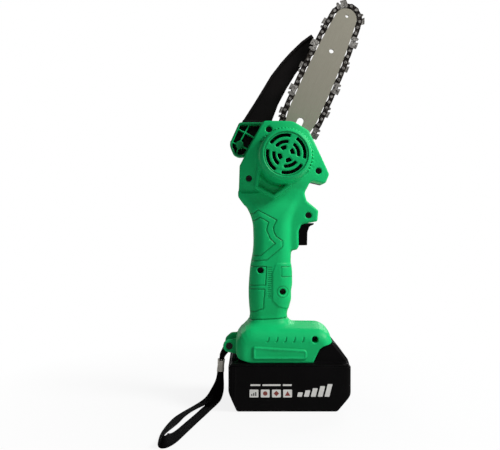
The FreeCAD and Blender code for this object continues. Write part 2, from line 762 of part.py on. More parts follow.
def planet_gear(angle):
    pitch_radius = MODULE * PLANET_TEETH / 2
    corners = gear_outline(PLANET_TEETH, pitch_radius + 0.6, pitch_radius - 0.85, angle + 180.0, 0.16)
    x, z = planet_centre(angle)
    return gear_solid(corners, x, z, GEAR_Y0 + 0.2, GEAR_Y1).cut(rod(x, z, 1.55, -5.0, 10.0))


def ring_gear():
    pitch_radius = MODULE * RING_TEETH / 2
    gap_phase = PLANET_ANGLES[0] + 180.0 / RING_TEETH
    cutter_corners = gear_outline(RING_TEETH, pitch_radius + 0.85, pitch_radius - 0.6, gap_phase, -0.16)
    blank = rod(DRIVE_X, DRIVE_Z, 19.4, GEAR_Y0, GEAR_Y1 + 0.4)
    return blank.cut(gear_solid(cutter_corners, DRIVE_X, DRIVE_Z, GEAR_Y0 - 1, GEAR_Y1 + 2))


def planet_carrier():
    disc = rod(DRIVE_X, DRIVE_Z, 15.0, GEAR_Y1 + 0.3, 8.0)
    spindle = rod(DRIVE_X, DRIVE_Z, SPINDLE_RADIUS, 7.5, 24.0)
    body = disc.fuse(spindle)
    for angle in PLANET_ANGLES:
        x, z = planet_centre(angle)
        body = body.cut(rod(x, z, 1.5, 5.0, 9.0))
    flats = box(DRIVE_X - 6, DRIVE_X + 6, 14.0, 25.0, DRIVE_Z + 3.4, DRIVE_Z + 6)
    return body.cut(flats)


def planet_pins():
    pins = []
    for angle in PLANET_ANGLES:
        x, z = planet_centre(angle)
        pins.append(rod(x, z, 1.5, GEAR_Y0 + 0.2, 7.8))
    return Part.makeCompound(pins)


def drive_sprocket():
    """Its teeth stop just short of the drive links, which do not circulate here."""
    tip, root = 7.55, 5.9
    corners = []
    for tooth in range(SPROCKET_TEETH):
        for step, radius in ((-0.30, root), (-0.14, tip), (0.14, tip), (0.30, root)):
            angle = 2 * math.pi * (tooth + step) / SPROCKET_TEETH
            corners.append((radius * math.cos(angle), radius * math.sin(angle), 0.3))
    body = prism([(DRIVE_X + u, DRIVE_Z + v, r) for u, v, r in corners], 15.6, 20.4)
    hole = rod(DRIVE_X, DRIVE_Z, SPINDLE_RADIUS, 10.0, 25.0)
    flat = box(DRIVE_X - 6, DRIVE_X + 6, 10.0, 25.0, DRIVE_Z + 3.4, DRIVE_Z + 6)
    return body.cut(hole.cut(flat))


def sprocket_clip():
    ring = tube(DRIVE_X, DRIVE_Z, 6.4, SPINDLE_RADIUS, 20.6, 21.6)
    flat = box(DRIVE_X - 3.0, DRIVE_X + 3.0, 20.0, 22.0, DRIVE_Z - 8.0, DRIVE_Z)
    return ring.cut(flat)


def bearing(outer, inner, y0, y1):
    """A sealed ball bearing: two races with a shield ring between them."""
    step = (outer - inner) / 3
    races = [
        tube(DRIVE_X, DRIVE_Z, outer, outer - step, y0, y1),
        tube(DRIVE_X, DRIVE_Z, inner + step, inner, y0, y1),
        tube(DRIVE_X, DRIVE_Z, outer - step, inner + step, y0 + 0.4, y1 - 0.4),
    ]
    return fuse(races)


def gearbox_case():
    cup = tube(DRIVE_X, DRIVE_Z, 21.0, 19.45, -1.4, 7.8)
    plate_ring = tube(DRIVE_X, DRIVE_Z, 21.0, 5.4, -1.4, -0.2)
    return cup.fuse(plate_ring)


# ---- motor --------------------------------------------------------------------------------
def motor_can():
    shell = tube(DRIVE_X, DRIVE_Z, MOTOR_RADIUS, 16.6, -27.6, -1.5)
    front = tube(DRIVE_X, DRIVE_Z, MOTOR_RADIUS, 5.0, -3.2, -1.5)
    return shell.fuse(front)


def motor_magnets():
    ring = tube(DRIVE_X, DRIVE_Z, 16.55, 14.3, -22.0, -5.0)
    gap = box(DRIVE_X - 4.0, DRIVE_X + 4.0, -40.0, 0.0, DRIVE_Z - 20, DRIVE_Z + 20)
    return ring.cut(gap)


def motor_armature():
    core = rod(DRIVE_X, DRIVE_Z, 13.7, -20.0, -7.0).cut(rod(DRIVE_X, DRIVE_Z, SHAFT_RADIUS, -30.0, 0.0))
    for i in range(5):
        angle = 72.0 * i
        groove = box(12.0, 15.0, -25.0, 0.0, -1.0, 1.0)
        pocket = box(7.5, 12.1, -25.0, 0.0, -2.6, 2.6)
        slot = groove.fuse(pocket)
        slot.rotate(V(0, 0, 0), Y_AXIS, angle)
        slot.translate(V(DRIVE_X, 0, DRIVE_Z))
        core = core.cut(slot)
    return core


def motor_windings():
    """Five coils wound through the armature's pockets."""
    coils = []
    for i in range(5):
        coil = box(7.7, 11.9, -21.5, -5.5, -2.4, 2.4)
        coil.rotate(V(0, 0, 0), Y_AXIS, 72.0 * i)
        coil.translate(V(DRIVE_X, 0, DRIVE_Z))
        coils.append(coil)
    return Part.makeCompound(coils)


def commutator():
    return tube(DRIVE_X, DRIVE_Z, 4.4, SHAFT_RADIUS, -27.0, -22.0)


def carbon_brushes():
    left = box(DRIVE_X - 10.0, DRIVE_X - 4.5, -26.0, -23.0, DRIVE_Z - 2, DRIVE_Z + 2)
    right = box(DRIVE_X + 4.5, DRIVE_X + 10.0, -26.0, -23.0, DRIVE_Z - 2, DRIVE_Z + 2)
    return Part.makeCompound([left, right])


def motor_end_cap():
    cap = tube(DRIVE_X, DRIVE_Z, MOTOR_RADIUS, 3.5, -29.6, -27.6)
    for side in (-1, 1):
        x0, x1 = sorted((DRIVE_X + side * 10.0, DRIVE_X + side * 14.0))
        cap = cap.fuse(box(x0, x1, -28.0, -22.5, DRIVE_Z - 3, DRIVE_Z + 3))
    return cap


def motor_shaft():
    return rod(DRIVE_X, DRIVE_Z, SHAFT_RADIUS, -33.2, GEAR_Y1)


def cooling_fan():
    hub = tube(DRIVE_X, DRIVE_Z, 4.0, SHAFT_RADIUS, -33.0, -30.1)
    disc = tube(DRIVE_X, DRIVE_Z, 17.0, SHAFT_RADIUS, -30.7, -30.1)
    blades = []
    for i in range(9):
        blade = box(3.8, 17.0, -33.0, -30.5, -0.5, 0.5)
        blade.rotate(V(0, 0, 0), Y_AXIS, 40.0 * i)
        blade.translate(V(DRIVE_X, 0, DRIVE_Z))
        blades.append(blade)
    return fuse([hub, disc] + blades).cut(rod(DRIVE_X, DRIVE_Z, SHAFT_RADIUS, -40.0, 0.0))


# ---- guard --------------------------------------------------------------------------------
GUARD_OUTER = [
    (-57.0, 262.5),
    (-45.0, 284.8),
    (-31.9, 305.3),
    (-16.2, 331.2),
    (-5.6, 344.9),
    (3.9, 355.4),
    (15.4, 366.4),
    (25.4, 373.7),
]
GUARD_INNER = [
    (30.6, 366.1),
    (15.8, 342.9),
    (9.5, 334.3),
    (-0.1, 318.5),
    (-8.5, 302.6),
    (-14.9, 285.9),
    (-25.5, 282.2),
    (-29.5, 274.6),
]


def guard():
    """Chip guard: a plate behind the chain with a turned-in outer edge."""
    root = [(-43.2, 250.5), (-48.0, 248.6, 2.0), (-54.0, 250.6, 4.0), (-57.6, 257.5, 3.0)]
    silhouette = [(x, z) for x, z in GUARD_OUTER] + GUARD_INNER + root
    blade = prism(silhouette, GUARD_PLATE_Y, GUARD_Y1)
    inside = prism(silhouette, 0.0, 40.0, -2.2)
    rim = prism(silhouette, 17.0, GUARD_PLATE_Y).cut(inside)
    rim_zone = [(x - 6, z + 4) for x, z in GUARD_OUTER[1:]]
    rim_zone += [(x + 3.5, z - 3) for x, z in reversed(GUARD_OUTER[1:])]
    rim = rim.common(prism(rim_zone, 0.0, 40.0))
    heel = [(-57.0, 262.5), (-45.0, 284.8), (-24.0, 284.8), (-25.5, 282.2), (-29.5, 274.6)] + root
    heel_block = prism(heel, GUARD_Y0, GUARD_PLATE_Y)
    heel_hollow = prism(heel, GUARD_Y0 + 2.0, GUARD_PLATE_Y, -2.0)
    hub = rod(GUARD_X, GUARD_Z, 6.5, GUARD_Y0, GUARD_Y1)
    body = fuse([blade, rim, heel_block.cut(heel_hollow), hub])
    body = body.cut(rod(GUARD_X, GUARD_Z, 2.06, 0.0, 40.0))
    return body.cut(rod(GUARD_X, GUARD_Z, 4.6, 19.5, 40.0))


def guard_pivot_pin():
    return rod(GUARD_X, GUARD_Z, 2.0, 1.0, 25.6).fuse(rod(GUARD_X, GUARD_Z, 4.2, 25.4, 26.8))


def coil_rings(centre, axis, radius, wire, count, step):
    """The turns of a spring, each one closed ring."""
    rings = []
    for i in range(count):
        rings.append(Part.makeTorus(radius, wire, centre + axis * (step * i), axis))
    return Part.makeCompound(rings)


def guard_spring():
    return coil_rings(V(GUARD_X, 20.2, GUARD_Z), Y_AXIS, 3.3, 0.5, 4, 1.25)


# ---- trigger group ------------------------------------------------------------------------
def trigger():
    corners = [
        (25.6, 178.9, 0.5),
        (25.3, 177.4, 0.5),
        (21.2, 175.6, 3.0),
        (19.2, 170.0, 6.0),
        (18.9, 156.8, 0.8),
        (3.0, 156.6),
        (1.0, 160.0),
        (1.0, 178.9),
    ]
    body = prism(corners, -TRIGGER_HALF_WIDTH, TRIGGER_HALF_WIDTH)
    front = [e for e in body.Edges if e.CenterOfMass.x > 18.0 and e.Length < 14.5
             and abs(abs(e.CenterOfMass.y) - TRIGGER_HALF_WIDTH) < 1e-6]
    body = body.makeFillet(0.4, front)
    plunger = Part.makeCylinder(1.9, 8.0, V(-6.5, 0, 167.0), V(1, 0, 0))
    return body.fuse(plunger)


def trigger_switch():
    body = box(-26.0, -6.6, -8.0, 8.0, 155.0, 180.0)
    body = body.cut(Part.makeCylinder(2.2, 12.0, V(-15.0, 0, 167.0), V(1, 0, 0)))
    tabs = [box(-31.0, -25.5, y - 0.4, y + 0.4, 158.0, 163.0) for y in (-4.0, 4.0)]
    return body.multiFuse(tabs)


def trigger_spring():
    return coil_rings(V(-5.8, 0, 167.0), V(1, 0, 0), 3.2, 0.4, 5, 1.5)


def lock_button():
    cap = rod(-4.0, 191.0, 5.0, 12.0, 20.0)
    rim = [e for e in cap.Edges if abs(e.CenterOfMass.y - 20.0) < 1e-6]
    return cap.makeFillet(1.0, rim).fuse(rod(-4.0, 191.0, 6.4, 10.6, 12.1))


def lock_spring():
    return coil_rings(V(-4.0, 5.6, 191.0), Y_AXIS, 3.6, 0.4, 4, 1.4)


def lock_seat():
    """Cup that the lock button's spring stands in, on a stem from the switch."""
    cup = rod(-4.0, 191.0, 5.4, 3.2, 8.0).fuse(box(-9.0, -7.0, 3.4, 7.8, 180.0, 189.0))
    return cup.cut(rod(-4.0, 191.0, 4.5, 4.6, 9.0))


# ---- battery ------------------------------------------------------------------------------
def pack_profile():
    return [
        (-PACK_X, SEAM_Z),
        (-PACK_X, 14.0, 3.0),
        (-50.0, 0.0, 2.0),
        (45.0, 0.0, 3.0),
        (PACK_X, 15.0, 5.0),
        (PACK_X, SEAM_Z),
    ]


def battery_tub():
    tub = prism(pack_profile(), -PACK_Y, PACK_Y)
    mask = loft([(-1.0, -PACK_X, PACK_X, PACK_Y, 5.0), (SEAM_Z, -PACK_X, PACK_X, PACK_Y, 5.0)])
    hollow = prism(pack_profile(), -PACK_Y + PACK_WALL, PACK_Y - PACK_WALL, -PACK_WALL)
    gap_x = PACK_X - PACK_WALL
    gap_y = PACK_Y - PACK_WALL
    lid_gap = box(-gap_x, gap_x, -gap_y, gap_y, 38.0, 50.0)
    tub = tub.common(mask).cut(hollow).cut(lid_gap)
    for x, y in PACK_SCREWS:
        post = Part.makeCylinder(3.9, SEAM_Z - 4.0, V(x, y, 4.0))
        tub = tub.fuse(post.common(prism(pack_profile(), -PACK_Y, PACK_Y).common(mask)))
    for x, y in PACK_SCREWS:
        tub = tub.cut(Part.makeCylinder(2.9, 21.0, V(x, y, -1.0)))
        tub = tub.cut(Part.makeCylinder(1.7, 60.0, V(x, y, -1.0)))
    return tub


def shoulder_profile():
    return [
        (23.4, SEAM_Z + 2.0),
        (29.0, 57.6),
        (32.9, 60.3),
        (41.2, 62.8, 0.6),
        (43.2, 64.2, 1.5),
        (56.2, 48.0, 1.5),
        (PACK_X, SEAM_Z + 1.0),
        (PACK_X, SEAM_Z),
        (23.4, SEAM_Z),
    ]


def latch_pocket():
    return box(27.4, 55.2, -11.4, 11.4, 44.8, 80.0)


def battery_cover():
    """Upper shell: deck, sloped edge, rail block that slides in the foot, front shoulder."""
    deck = loft([
        (SEAM_Z, -PACK_X, PACK_X, PACK_Y, 5.0),
        (SEAM_Z + 2.0, -PACK_X + 1.5, PACK_X - 0.5, PACK_Y - 4.0, 5.0),
    ])
    neck = box(-49.0, 40.0, -24.0, 24.0, SEAM_Z + 1, 56.5)
    rail = box(-49.0, 39.6, -27.0, 27.0, 56.3, RAIL_TOP_Z)
    ridge = box(-56.0, -52.2, -20.0, 20.0, SEAM_Z + 1, 46.3)
    shoulder = prism(shoulder_profile(), -29.5, 29.5)
    body = fuse([deck, neck, rail, ridge, shoulder])
    body = body.cut(box(-46.5, 24.5, -22.0, 22.0, 40.0, 59.0))
    body = body.cut(latch_pocket())
    for x, y in PACK_SCREWS:
        body = body.cut(Part.makeCylinder(1.5, 1.6, V(x, y, SEAM_Z - 0.1)))
    for y in (-16.0, -5.4, 5.4, 16.0):
        body = body.cut(box(-60.0, -14.0, y - 0.9, y + 0.9, 49.4, 80.0))
    return body


def battery_cells():
    cells = []
    for z in CELL_ROWS_Z:
        for i in range(-2, 3):
            cell = rod(i * CELL_PITCH_X, z, CELL_RADIUS, -CELL_LENGTH / 2, CELL_LENGTH / 2 - 1.2)
            cap = rod(i * CELL_PITCH_X, z, 2.8, CELL_LENGTH / 2 - 1.2, CELL_LENGTH / 2)
            cells.append(cell.fuse(cap))
    return Part.makeCompound(cells)


def cell_holder():
    frames = []
    for y0, y1 in ((-31.0, -25.0), (25.0, 31.0)):
        inside = prism(pack_profile(), y0, y1, -PACK_WALL - 0.3)
        frame = box(-48.0, 48.0, y0, y1, 2.6, 40.6).common(inside)
        for z in CELL_ROWS_Z:
            for i in range(-2, 3):
                frame = frame.cut(rod(i * CELL_PITCH_X, z, CELL_RADIUS + 0.02, y0 - 1, y1 + 1))
        frames.append(frame)
    tie = box(-48.0, -47.3, -25.0, 25.0, 18.0, 26.0).fuse(box(47.3, 48.0, -25.0, 25.0, 18.0, 26.0))
    return fuse(frames + [tie])


def cell_links():
    """Nickel strips that join the cells end to end."""
    strips = []
    for y in (-32.9, 32.6):
        for i in range(-2, 3):
            x = i * CELL_PITCH_X
            strips.append(box(x - 3.5, x + 3.5, y, y + 0.3, 8.0, 35.6))
    return Part.makeCompound(strips)


def battery_board():
    board = box(-44.0, 18.0, -20.0, 20.0, 41.5, 43.1)
    chips = [box(x, x + 6.0, -6.0, 6.0, 43.1, 45.0) for x in (-10.0, 2.0)]
    return board.multiFuse(chips)


def battery_contacts():
    """Female contacts under the slots of the rail block."""
    jaws = []
    for y in (-16.0, 16.0):
        foot = box(-44.0, -24.0, y - 2.6, y + 2.6, 43.1, 44.3)
        near = box(-44.0, -24.0, y - 2.6, y - 1.5, 44.2, 57.0)
        far = box(-44.0, -24.0, y + 1.5, y + 2.6, 44.2, 57.0)
        jaws.append(fuse([foot, near, far]))
    return Part.makeCompound(jaws)


def latch_button():
    """Ribbed release button and the catch that hooks into the foot."""
    corners = [
        (28.0, 50.0),
        (28.0, 61.6),
        (43.6, 61.6, 1.0),
        (54.4, 48.9, 0.5),
        (48.0, 48.9),
        (48.0, 50.0),
    ]
    body = prism(corners, -11.0, 11.0)
    hook = prism([(29.0, 61.0), (32.5, 65.3), (35.0, 65.3), (35.0, 61.0)], -7.0, 7.0)
    ribs = []
    for i in range(5):
        x = 45.4 + 1.9 * i
        z = 59.5 - 2.24 * i
        ribs.append(rod(x - 0.5, z + 0.6, 0.55, -9.0, 9.0))
    return fuse([body, hook] + ribs)


def latch_spring():
    return coil_rings(V(38.0, 0, 45.4), V(0, 0, 1), 4.0, 0.45, 4, 1.3)


def battery_screws():
    """Four screws up through the base into the cover."""
    pieces = []
    for x, y in PACK_SCREWS:
        head = Part.makeCylinder(2.7, 1.8, V(x, y, 18.2))
        pieces.append(head.fuse(Part.makeCylinder(1.5, SEAM_Z + 1.5 - 20.0, V(x, y, 20.0))))
    return Part.makeCompound(pieces)


# ---- inside the foot ----------------------------------------------------------------------
def terminal_block():
    """Insulating block under the foot's roof, in the port above the rails."""
    block = box(-43.8, -22.0, -18.3, 18.3, 62.4, 69.0)
    for y in BLADE_Y:
        block = block.cut(box(-42.0, -24.6, y - 0.5, y + 0.5, 60.0, 66.0))
    return block.cut(box(-50.0, 0.0, -3.0, 3.0, 60.0, 63.5))


def terminal_blades():
    return Part.makeCompound([box(-42.0, -24.6, y - 0.5, y + 0.5, 50.0, 66.0) for y in BLADE_Y])


def bent_rod(points, radius):
    """A wire of straight runs joined by tangent arcs, each as large as its runs allow."""
    edges = []
    cursor = V(*points[0])
    radii = []
    length = 0.0
    for i in range(1, len(points) - 1):
        corner = V(*points[i])
        back = V(*points[i - 1]) - corner
        ahead = V(*points[i + 1]) - corner
        reach = 0.45 * min(back.Length, ahead.Length)
        turn = math.pi - back.getAngle(ahead)
        bend = reach / math.tan(turn / 2)
        radii.append(bend)
        back.normalize()
        ahead.normalize()
        first = corner + back * reach
        last = corner + ahead * reach
        middle = corner + (back + ahead).normalize() * (bend / math.cos(turn / 2) - bend)
        edges.append(Part.LineSegment(cursor, first).toShape())
        edges.append(Part.Arc(first, middle, last).toShape())
        length += cursor.distanceToPoint(first) + bend * turn
        cursor = last
    edges.append(Part.LineSegment(cursor, V(*points[-1])).toShape())
    length += cursor.distanceToPoint(V(*points[-1]))
    path = Part.Wire(edges)
    heading = V(*points[1]) - V(*points[0])
    section = Part.Wire(Part.makeCircle(radius, V(*points[0]), heading))
    solid = path.makePipeShell([section], True, True)
    expected = math.pi * radius * radius * length
    assert abs(solid.Volume - expected) < 0.02 * expected
    print("   length %.1f, least radius %.1f" % (length, min(radii)))
    return solid


def battery_leads():
    """Two wires from the terminal block up the grip to the switch."""
    leads = []
    for side in (-1, 1):
        y = side * 4.0
        points = [
            (-30.0, y, 69.0),
            (-29.0, y, 78.0),
            (-20.0, y, 92.0),
            (-17.5, y, 112.0),
            (-18.5, y, 136.0),
            (-24.0, y, 146.0),
            (-28.3, y, 152.0),
            (-28.3, y, 158.0),
        ]
        leads.append(bent_rod(points, 1.1))
    return leads


def motor_leads():
    """Two wires from the switch up to the motor's end cap."""
    leads = []
    for side in (-1, 1):
        x = DRIVE_X + 4.0 * side
        points = [
            (x - 8.4, -3.0, 180.0),
            (x - 8.6, -4.2, 190.0),
            (x - 5.4, -8.6, 201.0),
            (x - 1.4, -10.4, 211.0),
            (x, -12.0, 220.0),
            (x, -16.5, 224.2),
            (x, -23.5, 224.4),
            (x, -28.6, 226.6),
        ]
        leads.append(bent_rod(points, 0.9))
    return leads


# ---- wrist strap --------------------------------------------------------------------------
STRAP_TUBE = 2.0
CRIMP_X = -67.2
CRIMP_Z0 = 30.4
CRIMP_Z1 = 42.6
STRAP_ROUTE = [
    (-67.5, -2.2, 30.4),
    (-67.8, -2.4, 21.4),
    (-69.4, -3.2, 11.5),
    (-72.0, -7.0, 4.6),
    (-75.5, -15.5, 2.4),
    (-79.6, -28.0, 2.2),
    (-83.4, -43.0, 2.2),
    (-88.2, -61.0, 2.2),
    (-92.2, -79.0, 2.2),
    (-96.6, -96.0, 2.2),
    (-99.4, -110.0, 2.8),
    (-101.2, -119.0, 3.8),
    (-102.4, -126.6, 4.8),
    (-105.2, -131.6, 5.2),
    (-110.4, -131.8, 5.2),
    (-113.2, -127.0, 5.0),
    (-113.4, -119.6, 4.2),
    (-112.2, -109.6, 3.0),
    (-109.8, -94.0, 2.4),
    (-107.6, -77.0, 2.2),
    (-103.4, -59.0, 2.2),
    (-97.2, -42.0, 2.2),
    (-90.0, -27.0, 2.2),
    (-84.2, -13.5, 2.8),
    (-79.6, -3.6, 5.2),
    (-74.0, 1.6, 10.4),
    (-69.6, 2.9, 17.6),
    (-67.9, 2.5, 24.0),
    (-67.5, 2.2, 30.4),
]


def strap_webbing():
    return bent_rod(STRAP_ROUTE, STRAP_TUBE)


def strap_crimp():
    corners = [
        (CRIMP_X - 3.4, CRIMP_Z0),
        (CRIMP_X + 2.6, CRIMP_Z0),
        (CRIMP_X + 3.6, CRIMP_Z1),
        (CRIMP_X - 2.4, CRIMP_Z1),
    ]
    body = prism(corners, -4.3, 4.3)
    edges = [e for e in body.Edges if abs(e.CenterOfMass.y) > 4.2 and e.Length > 11.0]
    return body.makeFillet(1.2, edges)


def strap_tether():
    """Narrow band from the crimp round the lug pin and back, its two legs together."""
    ahead = V(LUG_X - CRIMP_X - 0.6, 0, LUG_Z - CRIMP_Z1).normalize()
    across = V(ahead.z, 0, -ahead.x)
    pin = V(LUG_X, 0, LUG_Z)
    reach = 4.0
    right = pin + (ahead + across) * reach
    left = pin + (ahead - across) * reach
    corners = [
        (CRIMP_X - 0.9, CRIMP_Z1),
        (CRIMP_X + 2.1, CRIMP_Z1),
        (right.x, right.z, reach - 0.9),
        (left.x, left.z, reach - 0.9),
    ]
    return prism(corners, -3.0, 3.0).cut(rod(LUG_X, LUG_Z, 2.35, -10.0, 10.0))


# ---- build --------------------------------------------------------------------------------
def main():
    os.makedirs("parts", exist_ok=True)
    nose_s = fit_nose()
    print("nose centre at s = %.2f" % nose_s)
    outside = housing_outside()
    inside = housing_inside()
    save("housing_near", housing_near(outside, inside))
    save("housing_far", housing_far(outside, inside))
    save("housing_screws", housing_screws())
    save("lug_pin", lug_pin())
    save("side_cover", side_cover())
    save("cover_nut", cover_nut())
    save("bar_stud", bar_stud())
    save("guide_bar", guide_bar(nose_s))
    save("tension_block", tension_block())
    save("tension_screw", tension_screw())
    chain(nose_s)
    save("drive_sprocket", drive_sprocket())
    save("sprocket_clip", sprocket_clip())
    save("planet_carrier", planet_carrier())
    save("planet_pins", planet_pins())
    for number, angle in enumerate(PLANET_ANGLES, 1):
        save("planet_gear_%d" % number, planet_gear(angle))
    save("ring_gear", ring_gear())
    save("sun_gear", sun_gear())
    save("gearbox_case", gearbox_case())
    save("spindle_bearing", bearing(8.0, SPINDLE_RADIUS, 8.2, 13.0))
    save("motor_bearing", bearing(5.0, SHAFT_RADIUS, -3.2, -0.6))
    save("motor_can", motor_can())
    save("motor_magnets", motor_magnets())
    save("motor_armature", motor_armature())
    save("motor_windings", motor_windings())
    save("commutator", commutator())
    save("carbon_brushes", carbon_brushes())
    save("motor_end_cap", motor_end_cap())
    save("motor_shaft", motor_shaft())
    save("cooling_fan", cooling_fan())
    save("guard", guard())
    save("guard_pivot_pin", guard_pivot_pin())
    save("guard_spring", guard_spring())
    save("trigger", trigger())
    save("trigger_switch", trigger_switch())
    save("trigger_spring", trigger_spring())
    save("lock_button", lock_button())
    save("lock_spring", lock_spring())
    save("lock_seat", lock_seat())
    save("battery_tub", battery_tub())
    save("battery_cover", battery_cover())
    save("battery_cells", battery_cells())
    save("cell_holder", cell_holder())
    save("cell_links", cell_links())
    save("battery_board", battery_board())
    save("battery_contacts", battery_contacts())
    save("battery_screws", battery_screws())
    save("latch_button", latch_button())
    save("latch_spring", latch_spring())
    save("terminal_block", terminal_block())
    save("terminal_blades", terminal_blades())
    save("wiring", Part.makeCompound(battery_leads() + motor_leads()))
    save("strap_tether", strap_tether())
    save("strap_crimp", strap_crimp())
    save("strap_webbing", strap_webbing())


main()
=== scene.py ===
"""Looks of the one-handed cordless chain saw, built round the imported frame."""
import math

import bpy
import numpy as np
import openvdb
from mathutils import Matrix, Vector


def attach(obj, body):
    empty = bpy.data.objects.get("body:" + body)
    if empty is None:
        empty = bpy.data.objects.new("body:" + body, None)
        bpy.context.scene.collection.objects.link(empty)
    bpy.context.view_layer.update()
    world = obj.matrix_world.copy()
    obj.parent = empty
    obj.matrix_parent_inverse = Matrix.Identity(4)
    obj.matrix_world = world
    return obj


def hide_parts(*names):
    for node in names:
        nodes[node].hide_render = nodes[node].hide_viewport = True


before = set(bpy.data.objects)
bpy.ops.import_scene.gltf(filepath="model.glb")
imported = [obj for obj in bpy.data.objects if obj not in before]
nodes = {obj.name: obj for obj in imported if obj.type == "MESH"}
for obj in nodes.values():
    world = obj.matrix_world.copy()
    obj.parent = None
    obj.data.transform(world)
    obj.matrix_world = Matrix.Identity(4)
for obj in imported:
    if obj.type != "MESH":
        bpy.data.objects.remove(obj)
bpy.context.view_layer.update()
MM = 0.001

# ---- camera -------------------------------------------------------
CAMERA_LENS = 46.58
CAMERA_SENSOR = 36.0
CAMERA_PLACE = (-0.0379, -0.650, 0.177)

camera_data = bpy.data.cameras.new("camera")
camera_data.sensor_width = CAMERA_SENSOR
camera_data.lens = CAMERA_LENS
camera = bpy.data.objects.new("camera", camera_data)
camera.location = CAMERA_PLACE
camera.rotation_euler = (math.radians(90.0), 0.0, 0.0)
bpy.context.collection.objects.link(camera)
bpy.context.scene.camera = camera

# ---- places that several pieces share, in millimetres -------------
# the axes of the motor, of the strap's lug pin and of the guard's pivot, which run along Y
DRIVE_X = -3.6
DRIVE_Z = 244.7
LUG_X = -58.4
LUG_Z = 57.0
GUARD_X = -48.4
GUARD_Z = 257.8
# the outer face of the motor bulge
BULGE_Y = -36.0
# the way from one sample of a distance field to the next
STEP = 0.55


def mesh_object(name, points, faces, body, replaced=(), smooth=True):
    """A mesh given in millimetres, riding on a body."""
    mesh = bpy.data.meshes.new(name)
    mesh.from_pydata([tuple(float(c) * MM for c in p) for p in points], [], faces)
    mesh.update()
    if smooth:
        mesh.shade_smooth()
    thing = bpy.data.objects.new(name, mesh)
    bpy.context.collection.objects.link(thing)
    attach(thing, body)
    if replaced:
        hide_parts(*replaced)
    return thing


# ---- wrist strap --------------------------------------------------
STRAP_ROUTE = [
    # x, y, z of the route, then the way the webbing's width lies
    ((-67.5, -1.0, 30.4), (1.0, 0.0, 0.0)),
    ((-67.8, -1.4, 21.4), (1.0, 0.1, 0.0)),
    ((-69.0, -2.8, 11.0), (1.0, 0.1, 0.0)),
    ((-71.6, -7.0, 3.6), (1.0, -0.1, 0.0)),
    ((-75.5, -15.5, 0.9), (1.0, -0.3, 0.0)),
    ((-79.6, -30.0, 0.8), (1.0, -0.3, 0.0)),
    ((-83.2, -46.0, 0.8), (1.0, -0.3, 0.0)),
    ((-87.4, -62.0, 0.8), (1.0, -0.3, 0.0)),
    ((-91.8, -80.0, 0.9), (1.0, -0.3, -0.03)),
    ((-96.0, -98.0, 1.1), (1.0, -0.2, -0.05)),
    ((-99.2, -112.0, 1.9), (1.0, -0.2, -0.2)),
    ((-101.2, -124.0, 4.0), (0.75, -0.1, -0.65)),
    ((-102.4, -133.0, 5.4), (0.25, 0.0, -1.0)),
    ((-104.6, -138.6, 5.4), (0.0, 0.0, -1.0)),
    ((-108.0, -138.8, 5.4), (-0.2, 0.0, -1.0)),
    ((-109.4, -133.0, 5.2), (-0.45, 0.0, -0.9)),
    ((-109.2, -123.0, 4.9), (-0.65, 0.0, -0.75)),
    ((-108.6, -110.0, 4.2), (-0.85, 0.05, -0.5)),
    ((-107.4, -96.0, 3.2), (-0.95, 0.05, -0.3)),
    ((-105.2, -80.0, 2.6), (-1.0, 0.15, -0.15)),
    ((-102.2, -62.0, 2.5), (-0.95, 0.3, -0.15)),
    ((-96.6, -45.0, 2.5), (-0.88, 0.42, -0.2)),
    ((-89.4, -29.0, 2.5), (-0.9, 0.4, -0.15)),
    ((-82.2, -14.0, 2.6), (-1.0, 0.3, 0.0)),
    ((-77.0, -3.6, 4.4), (-1.0, 0.2, 0.0)),
    ((-72.4, 1.0, 9.8), (-1.0, 0.1, 0.0)),
    ((-69.2, 2.0, 17.0), (-1.0, 0.0, 0.0)),
    ((-67.9, 1.4, 24.0), (-1.0, 0.0, 0.0)),
    ((-67.5, 1.0, 30.4), (-1.0, 0.0, 0.0)),
]
WEB_WIDTH = 10.0
WEB_NECK = 6.6
WEB_THICKNESS = 1.3
WEB_TAPER = 22.0
ROUTE_RESOLUTION = 10


def spline_points(route, resolution):
    """Points read from the route's own NURBS spline, in millimetres."""
    curve = bpy.data.curves.new("route", "CURVE")
    curve.dimensions = "3D"
    curve.resolution_u = resolution
    spline = curve.splines.new("NURBS")
    spline.points.add(len(route) - 1)
    for point, where in zip(spline.points, route):
        point.co = (where[0] * MM, where[1] * MM, where[2] * MM, 1.0)
    spline.order_u = 3
    spline.use_endpoint_u = True
    holder = bpy.data.objects.new("route", curve)
    bpy.context.collection.objects.link(holder)
    line = bpy.data.meshes.new_from_object(holder)
    points = np.array([v.co for v in line.vertices]) / MM
    bpy.data.objects.remove(holder)
    bpy.data.curves.remove(curve)
    bpy.data.meshes.remove(line)
    return points


def unit(v):
    """Vectors of length one."""
    return v / np.maximum(np.linalg.norm(v, axis=-1, keepdims=True), 1e-9)


def ribbon_section():
    """Half of a flat band's outline and then the other, in half widths and half depths."""
    rim = 1.0 - 0.32 * 1.6
    section = []
    for side in (1.0, -1.0):
        for u in np.linspace(-1.0, 1.0, 13) * side:
            rounding = max(0.0, 1.0 - abs(u) ** 10 * rim)
            rib = 0.06 * math.cos(u * math.pi * 5.5)
            section.append((u, side * (rounding + rib * (1.0 - abs(u) ** 6))))
    return section


